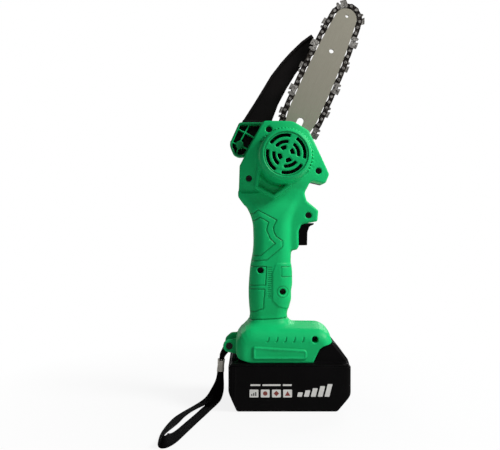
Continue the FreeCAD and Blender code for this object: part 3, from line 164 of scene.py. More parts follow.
def ribbon(name, line, across, widths, thickness, body):
    """A flat band along a line: a rounded, finely ribbed section carried along it."""
    ahead = np.roll(line, -1, axis=0) - np.roll(line, 1, axis=0)
    ahead[0] = line[1] - line[0]
    ahead[-1] = line[-1] - line[-2]
    ahead = unit(ahead)
    across = unit(across - ahead * np.sum(across * ahead, axis=1, keepdims=True))
    normal = np.cross(ahead, across)
    section = ribbon_section()
    rings = []
    depths = np.broadcast_to(thickness, len(line))
    for point, a, n, width, depth in zip(line, across, normal, widths, depths):
        for u, v in section:
            rings.append(point + a * (u * width / 2) + n * (v * depth / 2))
    count = len(section)
    faces = []
    for i in range(len(line) - 1):
        for k in range(count):
            m = (k + 1) % count
            faces.append((i * count + k, i * count + m, (i + 1) * count + m, (i + 1) * count + k))
    faces.append(tuple(reversed(range(count))))
    faces.append(tuple((len(line) - 1) * count + k for k in range(count)))
    thing = mesh_object(name, rings, faces, body)
    steps = np.linalg.norm(np.diff(line, axis=0), axis=1)
    along = np.repeat(np.concatenate(([0.0], np.cumsum(steps))), count)
    sideways = np.array([u * width / 2 for width in widths for u, v in section])
    for title, values in (("along", along), ("across", sideways)):
        layer = thing.data.attributes.new(title, "FLOAT", "POINT")
        layer.data.foreach_set("value", values.astype(np.float32))
    return thing


def make_strap():
    """The webbing, gathered at both ends, and the line down its middle."""
    line = spline_points([point for point, _ in STRAP_ROUTE], ROUTE_RESOLUTION)
    ways = [tuple(c * 10.0 for c in way) for _, way in STRAP_ROUTE]
    across = spline_points(ways, ROUTE_RESOLUTION)
    run = np.concatenate(([0.0], np.cumsum(np.linalg.norm(np.diff(line, axis=0), axis=1))))
    from_end = np.minimum(run, run[-1] - run)
    fade = np.clip(from_end / WEB_TAPER, 0.0, 1.0)
    widths = WEB_NECK + (WEB_WIDTH - WEB_NECK) * fade * fade * (3.0 - 2.0 * fade)
    strap = ribbon("strap_band", line, across, widths, WEB_THICKNESS, "saw")
    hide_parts("strap_webbing")
    return strap, line


strap, strap_line = make_strap()


# ---- distance fields ----------------------------------------------
class Space:
    """A block of space, in millimetres, with a sample every STEP."""

    def __init__(self, low, high):
        self.low = np.array(low, dtype=np.float64)
        count = [int(math.ceil((b - a) / STEP)) + 1 for a, b in zip(low, high)]
        axes = [self.low[i] + STEP * np.arange(count[i]) for i in range(3)]
        self.x = axes[0].astype(np.float32)[:, None, None]
        self.y = axes[1].astype(np.float32)[None, :, None]
        self.z = axes[2].astype(np.float32)[None, None, :]


def smooth_min(a, b, k):
    """Two shapes as one, the crease between them filled over a width of k."""
    h = np.maximum(k - np.abs(a - b), 0.0) / k
    return np.minimum(a, b) - h * h * (k * 0.25)


def smooth_max(a, b, k):
    """What lies in both shapes, the edge between them worn off over a width of k."""
    return -smooth_min(-a, -b, k)


FILLET_POINTS = 7


def rounded(corners):
    """A closed outline as many points; each corner is (u, v) or (u, v, fillet radius)."""
    points = []
    count = len(corners)
    for i, corner in enumerate(corners):
        here = np.array(corner[:2], dtype=float)
        back = unit(np.array(corners[i - 1][:2], dtype=float) - here)
        on = unit(np.array(corners[(i + 1) % count][:2], dtype=float) - here)
        radius = corner[2] if len(corner) > 2 else 0.0
        if not radius:
            points.append(tuple(here))
            continue
        half = math.acos(max(-1.0, min(1.0, float(back @ on)))) / 2
        centre = here + unit(back + on) * (radius / math.sin(half))
        first = here + back * (radius / math.tan(half)) - centre
        last = here + on * (radius / math.tan(half)) - centre
        for t in np.linspace(0.0, 1.0, FILLET_POINTS):
            swing = first * (1 - t) + last * t
            points.append(tuple(centre + unit(swing) * radius))
    return points


def segments_distance(points, u, v, closed):
    """Distance to a chain of straight pieces, and whether a point is inside it."""
    shape = np.broadcast(u, v).shape
    nearest = np.full(shape, 1e9, dtype=np.float32)
    inside = np.zeros(shape, dtype=bool)
    pairs = zip(points, points[1:] + points[:1]) if closed else zip(points, points[1:])
    for (ax, ay), (bx, by) in pairs:
        ex, ey = bx - ax, by - ay
        wx, wy = u - ax, v - ay
        t = np.clip((wx * ex + wy * ey) / max(ex * ex + ey * ey, 1e-9), 0.0, 1.0)
        nearest = np.minimum(nearest, (wx - ex * t) ** 2 + (wy - ey * t) ** 2)
        if abs(ey) > 1e-9:
            inside ^= ((ay <= v) != (by <= v)) & (u < ax + (v - ay) * (ex / ey))
    return np.sqrt(nearest), inside


def area(points, u, v):
    """Signed distance to a closed outline, negative inside."""
    nearest, inside = segments_distance(points, u, v, True)
    return np.where(inside, -nearest, nearest)


def lines(points, u, v):
    """Distance to an open line."""
    return segments_distance(points, u, v, False)[0]


def crossed(p, q, radius):
    """What lies in both fields, each already grown by the radius, with a round edge."""
    return np.hypot(np.maximum(p, 0), np.maximum(q, 0)) + np.minimum(np.maximum(p, q), 0) - radius


def slab(flat, along, a, b, edge):
    """A flat field carried from a to b, its rims rounded."""
    return crossed(flat + edge, np.abs(along - (a + b) / 2) - (b - a) / 2 + edge, edge)


def brick(s, x0, x1, y0, y1, z0, z1, edge=0.0):
    """A box along the axes, with round edges."""
    qx = np.abs(s.x - (x0 + x1) / 2) - (x1 - x0) / 2 + edge
    qy = np.abs(s.y - (y0 + y1) / 2) - (y1 - y0) / 2 + edge
    qz = np.abs(s.z - (z0 + z1) / 2) - (z1 - z0) / 2 + edge
    out = np.sqrt(np.maximum(qx, 0) ** 2 + np.maximum(qy, 0) ** 2 + np.maximum(qz, 0) ** 2)
    return out + np.minimum(np.maximum(qx, np.maximum(qy, qz)), 0) - edge


def pin(s, x, z, radius, y0, y1):
    """A round bar along Y."""
    return slab(np.hypot(s.x - x, s.z - z) - radius, s.y, y0, y1, 0.0)


PROFILE_STEP = 0.5
PROFILE_REACH = 40.0


def profile(table, column, z, blur):
    """One column of a table along Z, drawn as a smooth line."""
    fine = np.arange(table[0][0] - PROFILE_REACH, table[-1][0] + PROFILE_REACH, PROFILE_STEP)
    values = np.interp(fine, [row[0] for row in table], [row[column] for row in table])
    window = np.exp(-0.5 * (np.arange(-4 * blur, 4 * blur + 0.1, PROFILE_STEP) / blur) ** 2)
    padded = np.pad(values, len(window) // 2, mode="edge")
    smooth = np.convolve(padded, window / window.sum(), mode="valid")
    return np.interp(z, fine, smooth[: len(fine)]).astype(np.float32)


def trilinear(field, s, points):
    """The field's value at any points, from the eight samples round each."""
    at = (points - s.low) / STEP
    base = np.clip(np.floor(at).astype(int), 0, np.array(field.shape) - 2)
    f = at - base
    total = 0.0
    for corner in range(8):
        d = np.array([corner >> 2 & 1, corner >> 1 & 1, corner & 1])
        weight = np.prod(np.where(d, f, 1.0 - f), axis=1)
        i = base + d
        total = total + weight * field[i[:, 0], i[:, 1], i[:, 2]]
    return total


BAND = 3.0
ADAPTIVITY = 0.02


def meshed(name, field, s, body, replaced, shade_mark):
    """The zero surface of a field as a piece, with normals from the field itself and the shade mark kept
    as its groove attribute.
    """
    grid = openvdb.FloatGrid(background=BAND)
    grid.copyFromArray(np.clip(field, -BAND, BAND).astype(np.float32))
    points, triangles, quads = grid.convertToPolygons(isovalue=0.0, adaptivity=ADAPTIVITY)
    points = points * STEP + s.low
    faces = [tuple(int(i) for i in q) for q in quads]
    faces += [tuple(int(i) for i in t) for t in triangles]
    thing = mesh_object(name, points, faces, body, replaced)
    slope = []
    for axis in range(3):
        ahead = np.zeros(3)
        ahead[axis] = STEP * 0.6
        slope.append(trilinear(field, s, points + ahead) - trilinear(field, s, points - ahead))
    thing.data.normals_split_custom_set_from_vertices(unit(np.stack(slope, axis=1)))
    # the groove attribute carries painted shade: grooves, recesses and gaps between beads are darkened by
    # it
    values = np.clip(trilinear(shade_mark, s, points), 0.0, 1.0)
    layer = thing.data.attributes.new("groove", "FLOAT", "POINT")
    layer.data.foreach_set("value", values.astype(np.float32))
    return thing


# ---- green housing ------------------------------------------------
HEAD = [
    (-43.4, 198.0, 2.0), (-49.3, 205.4, 1.6), (-48.3, 235.7, 3.5), (-28.1, 273.6, 3.0),
    (-24.1, 280.2, 3.0), (4.5, 279.6, 16.0), (20.0, 270.2, 5.0), (40.8, 227.4, 4.0),
    (36.9, 217.7, 3.0), (22.3, 221.1, 5.0), (14.6, 206.0, 5.0), (16.5, 198.0, 2.0),
]
BEAK = [
    (-6.0, 214.0), (12.6, 214.0, 3.0), (16.6, 206.5, 5.0), (18.6, 200.8, 4.0),
    (29.9, 191.5, 3.0), (28.9, 180.6, 1.8), (21.0, 179.2, 2.0), (13.0, 177.6, 4.0),
    (10.2, 171.0, 5.0), (10.4, 155.6, 2.2), (8.6, 152.6, 2.0), (2.0, 151.2), (-6.0, 148.0),
]
GRIP = [
    # z, rear, front, half width, corner radius
    (78.0, -37.2, -1.5, 16.5, 11.0), (90.0, -37.9, -1.2, 16.8, 11.0),
    (96.0, -38.7, 0.6, 17.3, 11.5), (104.0, -39.2, 2.9, 17.8, 12.0),
    (113.0, -39.4, 2.6, 18.0, 12.5), (117.0, -39.2, 3.9, 18.0, 12.5),
    (134.0, -38.0, 3.7, 17.9, 12.5), (139.0, -37.3, 2.6, 17.7, 12.5),
    (146.0, -35.8, 2.8, 17.6, 12.5), (152.0, -34.8, 3.2, 17.3, 12.5),
    (160.0, -34.4, 2.6, 17.2, 12.0), (178.0, -34.8, 2.6, 17.2, 12.0),
    (187.0, -37.2, 4.8, 16.4, 11.0), (197.0, -42.3, 10.0, 14.2, 9.0),
    (205.0, -48.0, 13.0, 11.6, 7.0), (214.0, -48.0, 13.0, 10.0, 6.0),
]
FOOT = [
    (-51.8, 30.0), (-51.8, 80.6, 17.5), (41.6, 79.8, 15.0), (41.6, 30.0),
]
FOOT_HEM = [
    (-70.0, 100.0), (-70.0, 56.5), (-52.4, 54.6), (-48.8, 48.6, 5.0), (-38.0, 45.3, 8.0),
    (22.4, 45.3, 0.8), (28.5, 58.2, 3.0), (32.4, 60.9, 4.0), (41.4, 63.4), (60.0, 63.5),
    (60.0, 100.0),
]
GRIP_SCREW = (-5.95, 111.6)
SCREWS = [
    # x, z, near face, seat of the screw's head
    (-19.3, 271.1, -16.0, -7.0), (-38.9, 223.1, -16.0, -7.0), (29.7, 230.4, -16.0, -7.0),
    (19.9, 186.6, -12.0, -7.0), (-27.7, 132.6, -18.0, -8.0), (*GRIP_SCREW, -18.0, -8.0),
    (24.2, 67.4, -33.0, -18.0),
]
GRIP_LINES = [
    [(-40.0, 187.6), (-33.7, 188.7), (-30.2, 191.7), (-11.8, 181.7), (-15.3, 174.7),
     (-14.3, 169.7), (-12.3, 165.7), (-6.3, 161.7), (-6.3, 155.3), (-21.7, 142.6),
     (-40.0, 141.6)],
    [(-40.0, 180.2), (-33.7, 181.2), (-28.2, 184.7), (-19.7, 179.7), (-21.2, 175.7),
     (-21.7, 171.7), (-18.2, 163.7), (-13.3, 158.7), (-27.2, 147.3), (-40.0, 147.0)],
    [(-40.0, 136.8), (-21.9, 136.2), (-23.0, 118.1), (-40.0, 118.1)],
    [(-40.0, 114.9), (-23.6, 113.9), (-25.2, 95.0), (-33.9, 92.0), (-40.0, 92.0)],
]
GRIP_PANEL = [
    (30.0, 139.5), (-12.6, 139.4, 3.0), (-15.9, 129.6, 4.0), (-15.9, 103.0, 5.0),
    (-10.6, 97.6, 5.0), (-2.0, 94.4), (30.0, 94.4),
]
LEDGE = [(-28.6, 235.0), (-31.8, 214.2), (-14.2, 204.8), (0.5, 216.2)]
POCKET = [
    (-26.4, 234.0, 1.5), (-29.2, 215.8, 2.0), (-14.4, 207.8, 2.0), (-2.0, 217.4, 2.0),
    (-6.0, 228.0),
]
BRACKET = [
    (-48.8, 280.2, 3.0), (-24.0, 280.2), (-27.0, 273.2), (-43.0, 246.0),
    (-49.6, 245.4, 6.0), (-54.6, 248.0, 6.0), (-58.8, 258.0, 8.0),
]
BRACKET_RIBS = [
    [(-49.6, 273.8), (-33.0, 265.0)], [(-38.7, 278.0), (-47.5, 262.0)],
    [(-46.0, 256.6), (-39.0, 252.8)], [(-52.0, 259.0), (-57.5, 261.2)],
    [(-50.0, 254.5), (-52.0, 248.2)],
]
FAR_EAR = [
    (-49.0, 46.0), (-58.6, 50.2, 5.0), (-63.2, 54.4, 5.0), (-62.8, 62.8, 5.0),
    (-57.0, 68.0, 4.0), (-49.0, 68.6),
]
VENTS = [
    # inner radius, outer radius, degrees of the turn that one of the four slots takes up
    (4.4, 8.2, 46.0), (10.2, 13.3, 64.0), (16.3, 19.4, 70.0),
]
VENT_CORNER = 0.7
BAR_ANGLE = 66.0
ROOMS = [
    # x, y and z ranges: the channel for the battery's neck and the one for its rails, the latch's
    # catch, the terminals' port and the trigger's way
    (-49.6, 90.0, -24.4, 24.4, 30.0, 57.0), (-49.6, 90.0, -27.4, 27.4, 56.0, 62.1),
    (29.5, 90.0, -7.6, 7.6, 61.0, 66.0), (-44.0, -6.0, -18.5, 18.5, 61.5, 66.0),
    (-6.0, 20.0, -7.4, 7.4, 156.2, 179.2),
]
WALL = 2.5
FOOT_DECK = 63.5
POST_RADIUS = 4.4
HEAD_NEAR = -16.0
HEAD_FALL = 0.31
BEAD_RADIUS = 26.8
BEAD_HALF = 1.5
BEAD_PITCH = math.radians(7.0)
BEAD_MIDDLE = math.radians(61.0)
BEAD_REACH = math.radians(94.0)
# x, z and radius of the place round a shell screw that has no beads
BEADLESS = (-19.4, 270.6, 5.6)
DIMPLES = [(24.1, 233.4), (26.6, 240.2), (-27.0, 258.6)]
TICK_PITCH = 2.0
# half the gap that is left between the two shells, and the bores through them
SEAM = 0.04
RECESS_RADIUS = 3.1
SCREW_BORE = 1.8
THREAD_BORE = 1.65
LUG_BORE = 2.25
GUARD_BORE = 2.0
SPINDLE_BORE = 8.0


def carve(skin, shade_mark, flat, width, depth):
    """A rounded line let into the surface, with painted shade along it in the mark."""
    shape = np.clip(1.0 - (flat / (width / 2)) ** 2, 0.0, 1.0)
    return skin + depth * shape, np.maximum(shade_mark, shape)


def body_fields(s, radial):
    """The smooth body before any detail, and its motor bulge alone."""
    x, y, z = s.x, s.y, s.z
    head = slab(area(rounded(HEAD), x, z), y, HEAD_NEAR, 40.0, 2.2)
    fall = HEAD_FALL * np.clip(radial - 25.0, 0.0, 24.0)
    head = smooth_max(head, (fall + HEAD_NEAR - y) * 0.96, 1.6)
    beak = slab(area(rounded(BEAK), x, z), y, -10.8, 12.2, 2.4)
    rear, front, half_width, corner = (
        profile(GRIP, column, z, blur) for column, blur in ((1, 3), (2, 2), (3, 3), (4, 3))
    )
    qx = np.abs(x - (rear + front) / 2) - (front - rear) / 2 + corner
    qy = np.abs(y) - half_width + corner
    grip = np.maximum(crossed(qx, qy, corner), np.maximum(79.0 - z, z - 208.0))
    foot = slab(area(rounded(FOOT), x, z + 0.0050 * y * y), y, -33.0, 33.0, 9.5)
    foot = smooth_max(foot, area(rounded(FOOT_HEM), x, z), 0.8)
    t = np.clip((y - BULGE_Y) / 20.0, 0.0, 1.4)
    wall = np.hypot(x - DRIVE_X + 1.2 * t, z - DRIVE_Z + 1.2 * t) - 24.9 - 1.7 * t
    bulge = slab(wall, y, BULGE_Y, -8.0, 4.0)
    skin = head
    for shape, crease in ((grip, 5.0), (beak, 2.6), (foot, 10.0), (bulge, 2.4)):
        skin = smooth_min(skin, shape, crease)
    return skin, bulge


def cut_pocket(s, skin, bulge, radial):
    """The ledge and the sloping pocket under the bulge."""
    ledge = slab(lines(LEDGE, s.x, s.z) - 1.9, s.y, -18.6, -8.0, 1.6)
    skin = smooth_min(skin, ledge, 1.4)
    slope = -9.4 - 9.8 * np.clip((radial - 26.5) / 10.5, 0.0, 1.0)
    pocket = np.maximum(area(rounded(POCKET), s.x, s.z), (s.y - slope) * 0.9)
    return smooth_max(skin, -smooth_max(pocket, -(bulge - 0.2), 0.6), 1.2)


def add_beads(s, skin, shade_mark, radial):
    """The ring of small beads round the foot of the bulge, and the head's dimples."""
    turn = np.arctan2(s.z - DRIVE_Z, s.x - DRIVE_X)
    sideways = (turn % BEAD_PITCH - BEAD_PITCH / 2) * BEAD_RADIUS
    outward = (radial - BEAD_RADIUS) / BEAD_HALF
    bead = np.sqrt((sideways / BEAD_HALF) ** 2 + outward ** 2 + ((s.y + 16.2) / 2.8) ** 2)
    away = np.abs(turn - BEAD_MIDDLE) - BEAD_REACH
    gap_x, gap_z, gap = BEADLESS
    away = np.maximum(away, (gap - np.hypot(s.x - gap_x, s.z - gap_z)) / BEAD_RADIUS)
    bead = np.maximum((bead - 1.0) * 1.2, away * BEAD_RADIUS)
    skin = smooth_min(skin, bead, 0.35)
    # painted shade in the gaps between the beads
    between = np.clip(bead / 0.6, 0.0, 1.0) * (away < 0) * (np.abs(radial - BEAD_RADIUS) < 1.7)
    shade_mark = np.maximum(shade_mark, 0.5 * between * (s.y < -13.0))
    dimple = np.minimum.reduce([np.hypot(s.x - x, s.z - z) for x, z in DIMPLES])
    return carve(skin, shade_mark, np.maximum(dimple, np.abs(s.y + 17.0) - 1.4), 2.6, 1.1)


def cut_grip(s, skin, shade_mark):
    """Lines and panels in the grip, on both sides, and the line round its collar."""
    x, z = s.x, s.z
    flank = np.clip((np.abs(s.y) - 6.0) / 3.0, 0.0, 1.0)
    off_flank = 9.0 * (1.0 - flank)
    for line in GRIP_LINES:
        skin, shade_mark = carve(skin, shade_mark, lines(line, x, z) + off_flank, 1.3, 0.6)
    panel = area(rounded(GRIP_PANEL), x, z)
    rise = np.clip(0.5 - panel / 1.2, 0.0, 1.0)
    skin = skin - 0.55 * rise * flank * (z < 150)
    notch = area(rounded([(-7.4, 136.2, 0.8), (6.0, 136.2), (6.0, 126.3), (-7.4, 126.3, 0.8)]), x, z)
    skin, shade_mark = carve(skin, shade_mark, np.abs(notch) + off_flank, 1.1, 0.45)
    boss = np.hypot(x - GRIP_SCREW[0], z - GRIP_SCREW[1])
    skin, shade_mark = carve(skin, shade_mark, np.abs(boss - 5.6) + off_flank, 0.9, 0.25)
    for i in range(16):
        level = 105.4 + TICK_PITCH * i
        tick = lines([(-20.4, level), (-16.8, level)], x, z)
        skin, shade_mark = carve(skin, shade_mark, tick + off_flank, 0.95, 0.45)
    return carve(skin, shade_mark, np.abs(z - 84.0 - 0.045 * (x + 36.0)), 1.3, 0.75)


def add_foot_panel(s, skin, shade_mark):
    """A raised tapered panel and five ticks on each side of the foot."""
    side = np.abs(s.y)
    outline = rounded([(-35.1, 61.2, 2.0), (16.4, 57.9, 3.4), (16.4, 48.7, 3.4), (-35.1, 48.7, 2.0)])
    rib = area(outline, s.x, s.z)
    skin = smooth_min(skin, slab(rib, side, 28.0, 34.3, 1.2), 0.7)
    inset = np.clip(0.5 - (rib + 2.2) / 0.9, 0.0, 1.0) * (side > 30.0)
    skin = skin + 0.35 * inset
    # painted shade along the rim of the inset panel
    shade_mark = np.maximum(shade_mark, 0.55 * np.clip(1.0 - np.abs(rib - 0.4) / 0.9, 0, 1) * (side > 30.0))
    for i in range(5):
        x = -20.7 + 8.35 * i
        tick = lines([(x - 1.0, 65.2), (x + 0.2, 66.0), (x + 0.9, 69.4)], s.x, s.z)
        skin, shade_mark = carve(skin, shade_mark, tick + 9.0 * (side < 28.0), 1.25, 0.7)
    return skin, shade_mark


def housing_fields(s):
    """The plain body, the detailed one, the mark of painted shade in its grooves and creases and the
    motor axis's distance.
    """
    radial = np.hypot(s.x - DRIVE_X, s.z - DRIVE_Z)
    skin, bulge = body_fields(s, radial)
    shade_mark = np.zeros_like(skin)
    plain = cut_pocket(s, skin, bulge, radial)
    skin, shade_mark = add_beads(s, plain, shade_mark, radial)
    skin, shade_mark = cut_grip(s, skin, shade_mark)
    skin, shade_mark = add_foot_panel(s, skin, shade_mark)
    # a fine rebate along the seam between the two shells
    skin, shade_mark = carve(skin, shade_mark, np.abs(s.y), 1.2, 0.45)
    return plain, skin, shade_mark, radial


def vent_slots(s, radial):
    """Three rings of four curved slots in the bulge's face."""
    slots = np.full_like(radial, 50.0)
    turn = np.arctan2(s.z - DRIVE_Z, s.x - DRIVE_X)
    for inner, outer, span in VENTS:
        for quarter in range(4):
            middle = math.radians(BAR_ANGLE + 45.0 + 90.0 * quarter)
            swing = np.abs((turn - middle + math.pi) % (2 * math.pi) - math.pi)
            reach = (swing - math.radians(span / 2)) * radial
            across = np.abs(radial - (inner + outer) / 2) - (outer - inner) / 2
            slots = np.minimum(slots, crossed(across + VENT_CORNER, reach + VENT_CORNER, VENT_CORNER))
    return slots


def hollowed(s, plain, skin, side):
    """Thin walls, the rooms for the battery and the trigger, and the screw posts."""
    room = np.maximum(plain + WALL, FOOT_DECK - s.z)
    for ranges in ROOMS:
        room = np.minimum(room, brick(s, *ranges))
    for x, z, near, _ in SCREWS:
        ends = (near + 1.5, 0.2) if side < 0 else (-0.2, 10.6)
        room = np.maximum(room, -pin(s, x, z, POST_RADIUS, *ends))
    return smooth_max(skin, -room, 0.5)


def lug_ear(s, y0, y1, radius):
    """The near half of the lug that the strap's pin goes through."""
    flat = area(
        [(LUG_X, LUG_Z + radius), (-49.0, LUG_Z + radius + 1.6), (-49.0, LUG_Z - radius - 2.2),
         (LUG_X, LUG_Z - radius)], s.x, s.z
    )
    ear = smooth_min(np.hypot(s.x - LUG_X, s.z - LUG_Z) - radius, flat, 0.6)
    return slab(ear, s.y, y0, y1, 0.9)


def make_near_shell():
    """The shell on the vent's side, with the screws' recesses."""
    s = Space((-66.6, -37.6, 43.9), (43.4, 1.2, 281.8))
    plain, skin, shade_mark, radial = housing_fields(s)
    skin, shade_mark = carve(skin, shade_mark, np.maximum(np.abs(radial - 20.8), s.y + 34.6), 1.5, 0.8)
    skin = skin + 0.5 * np.clip((20.6 - radial) / 0.6, 0, 1) * (s.y < -33.0)
    shell = hollowed(s, plain, skin, -1)
    shell = smooth_max(shell, -np.maximum(vent_slots(s, radial), s.y + 31.0), 0.9)
    shell = smooth_min(shell, lug_ear(s, -9.5, -4.0, 6.2), 0.8)
    for x, z, near, seat in SCREWS:
        recess = pin(s, x, z, RECESS_RADIUS, near - 9.0, seat)
        shell = smooth_max(shell, -recess, 0.9)
        # painted shade inside the screws' recesses
        shade_mark = np.maximum(shade_mark, np.clip(-recess, 0, 1))
        shell = np.maximum(shell, -pin(s, x, z, SCREW_BORE, seat - 1.0, 2.0))
    shell = np.maximum(shell, -pin(s, LUG_X, LUG_Z, LUG_BORE, -20.0, 0.0))
    shell = smooth_max(shell, -pin(s, LUG_X, LUG_Z, 3.4, -20.0, -6.6), 0.5)
    shell = np.maximum(shell, s.y + SEAM)
    return meshed("shell_near", shell, s, "saw", ["housing_near"], shade_mark)


def make_far_shell():
    """The shell on the bar's side, with the guard's ribbed bracket and the far lug ear."""
    s = Space((-67.6, -1.2, 43.9), (43.4, 35.6, 282.2))
    plain, skin, shade_mark, _ = housing_fields(s)
    back = s.y - 13.0 - 5.4 * (s.z < 212.0)
    plain, skin = (
        np.where(s.z > 150.0, np.maximum(field, back), field) for field in (plain, skin)
    )
    shell = hollowed(s, plain, skin, 1)
    frame_line = area(rounded(BRACKET), s.x, s.z)
    bracket = np.maximum(frame_line, -(frame_line + 2.0))
    bracket = np.minimum(bracket, np.hypot(s.x - GUARD_X, s.z - GUARD_Z) - 3.9)
    bracket = slab(bracket, s.y, 0.0, 13.0, 0.5)
    for rib in BRACKET_RIBS:
        bracket = smooth_min(bracket, slab(lines(rib, s.x, s.z) - 0.6, s.y, 2.6, 13.0, 0.3), 0.5)
    shell = smooth_min(shell, bracket, 0.6)
    ear = slab(area(rounded(FAR_EAR), s.x, s.z), s.y, 4.0, 9.5, 0.9)
    shell = smooth_min(shell, ear, 0.8)
    shell = np.maximum(shell, -pin(s, GUARD_X, GUARD_Z, GUARD_BORE, 1.0, 20.0))
    shell = np.maximum(shell, -pin(s, LUG_X, LUG_Z, LUG_BORE, 0.0, 20.0))
    shell = smooth_max(shell, -pin(s, -4.0, 191.0, 5.2, 9.0, 30.0), 0.6)
    shell = np.maximum(shell, -pin(s, DRIVE_X, DRIVE_Z, SPINDLE_BORE, 8.0, 20.0))
    for x, z, _, _ in SCREWS:
        shell = np.maximum(shell, -pin(s, x, z, THREAD_BORE, -1.0, 8.6))
    shell = np.maximum(shell, SEAM - s.y)
    return meshed("shell_far", shell, s, "saw", ["housing_far"], shade_mark)


shell_near = make_near_shell()
shell_far = make_far_shell()


# ---- battery shells -----------------------------------------------
PACK = [
    (-59.0, 60.0), (-59.0, 18.6, 6.0), (-50.4, 0.0, 2.5), (45.0, 0.0, 4.0),
    (58.6, 16.0, 8.0), (58.6, 60.0),
]
SHOULDER = [
    (23.4, 42.0), (23.4, 45.0), (29.0, 57.6, 3.0), (32.9, 60.3, 4.0), (41.2, 62.8, 1.0),
    (43.2, 64.2, 1.5), (56.2, 48.0, 2.5), (57.3, 44.6, 1.0), (57.3, 42.0),
]
PACK_SCREWS = [(-52.2, -31.6), (-52.2, 31.6), (52.2, -31.6), (52.2, 31.6)]
PACK_CORNER = 5.0
PACK_MIDDLE = -0.2
PACK_HALF_Y = 37.5
COVER_FLOOR = 43.02


def oblong(s, half_x, half_y):
    """The battery's outline from above, its corners rounded."""
    qx = np.abs(s.x - PACK_MIDDLE) - half_x + PACK_CORNER
    qy = np.abs(s.y) - half_y + PACK_CORNER
    return crossed(qx, qy, PACK_CORNER)


def make_tub():
    """The battery's lower half: five grooves in each end, a rib at each rear corner."""
    s = Space((-60.0, -38.3, -0.8), (59.6, 38.3, 43.6))
    side = area(rounded(PACK), s.x, s.z)
    body = smooth_max(side, oblong(s, 58.8, PACK_HALF_Y), 1.6)
    body = smooth_max(body, s.z - 43.0, 1.4)
    skin = body
    shade_mark = np.zeros_like(skin)
    for i in range(5):
        level = np.abs(s.z - 21.0 - 4.0 * i)
        groove = np.maximum(level - 0.9, np.maximum(np.abs(s.y) - 24.0, 57.2 - np.abs(s.x)))
        skin, shade_mark = carve(skin, shade_mark, np.maximum(groove, -0.9) + 0.9, 1.9, 0.9)
    rib = lines([(-52.1, 41.4), (-52.7, 12.8)], s.x, s.z) - 0.5
    skin = smooth_min(skin, slab(rib, np.abs(s.y), 30.0, 37.85, 0.3), 0.4)
    inside = np.maximum(np.maximum(side, np.abs(s.y) - PACK_HALF_Y) + 2.2, np.abs(s.x) - 55.3)
    shell = smooth_max(skin, -inside, 0.4)
    for x, y in PACK_SCREWS:
        post = np.hypot(s.x - x, s.y - y)
        shell = np.minimum(shell, np.maximum(np.maximum(post - 3.9, body + 0.8), s.z - 38.9))
        shell = smooth_max(shell, -np.maximum(post - 2.9, s.z - 20.0), 0.6)
        shell = np.maximum(shell, -np.maximum(post - 1.7, s.z - 60.0))
    return meshed("pack_tub", shell, s, "battery", ["battery_tub"], shade_mark)


def make_cover():
    """The battery's upper half: deck, neck and rails, and the shoulder that holds the latch."""
    s = Space((-60.0, -38.3, 42.4), (59.6, 38.3, 65.2))
    wide = np.abs(s.y)
    slope = s.z - 43.2 - np.minimum((PACK_HALF_Y - wide) * 0.46, 1.9)
    slope = np.maximum(slope, s.z - 43.2 - (57.5 - np.abs(s.x)) * 0.8)
    deck = smooth_max(np.maximum(oblong(s, 58.7, 37.4), COVER_FLOOR - s.z), slope * 0.9, 0.8)
    neck = brick(s, -49.0, 40.0, -24.0, 24.0, 43.5, 57.0, 0.4)
    rail = brick(s, -49.0, 39.6, -27.0, 27.0, 56.3, 61.5, 0.5)
    ridge = brick(s, -56.0, -52.2, -20.0, 20.0, 43.5, 46.3, 0.9)
    block = slab(area(rounded(SHOULDER), s.x, s.z), s.y, -29.5, 29.5, 0.4)
    bevel = (wide - 29.5) * 0.72 + (s.z - 64.2 + (s.x - 43.2) * 1.246) * 0.46 + 1.9
    block = smooth_max(block, np.where(s.x > 30.0, bevel, -9.0), 0.5)
    body = smooth_min(deck, smooth_min(block, neck, 0.8), 1.2)
    body = np.minimum(np.minimum(body, rail), ridge)
    body = np.maximum(body, COVER_FLOOR - s.z)
    shade_mark = np.zeros_like(body)
    body = np.maximum(body, -brick(s, -46.5, 24.5, -22.0, 22.0, 40.0, 59.0))
    body = smooth_max(body, -brick(s, 27.4, 55.2, -11.4, 11.4, 44.8, 80.0), 0.7)
    for y in (-16.0, -5.4, 5.4, 16.0):
        body = smooth_max(body, -brick(s, -60.0, -14.0, y - 0.9, y + 0.9, 52.0, 80.0), 0.4)
    for x, y in PACK_SCREWS:
        body = np.maximum(body, -np.maximum(np.hypot(s.x - x, s.y - y) - 1.5, s.z - 44.5))
    return meshed("pack_cover", body, s, "battery", ["battery_cover"], shade_mark)


pack_tub = make_tub()
pack_cover = make_cover()


# ---- print on the battery: plain shapes only ----------------------
def printed(name, shapes, y0, y1):
    """Flat shapes in the XZ plane as thin plates, from y1 out to y0."""
    points, faces = [], []
    for shape in shapes:
        base, count = len(points), len(shape)
        points += [(x, y0, z) for x, z in shape] + [(x, y1, z) for x, z in shape]
        faces.append(tuple(base + i for i in range(count)))
        faces.append(tuple(base + count + i for i in reversed(range(count))))
        for i in range(count):
            j = (i + 1) % count
            faces.append((base + i, base + count + i, base + count + j, base + j))
    thing = mesh_object(name, points, faces, "battery", smooth=False)
    thing.data.flip_normals()
    return thing


SQUARE_WIDTH = 8.4
SQUARE_FOOT = 13.8
SQUARE_TOP = 21.2
STRIPE_WIDTH = 4.6
STRIPE_FOOT = 14.4
STRIPE_LEAN = 0.26


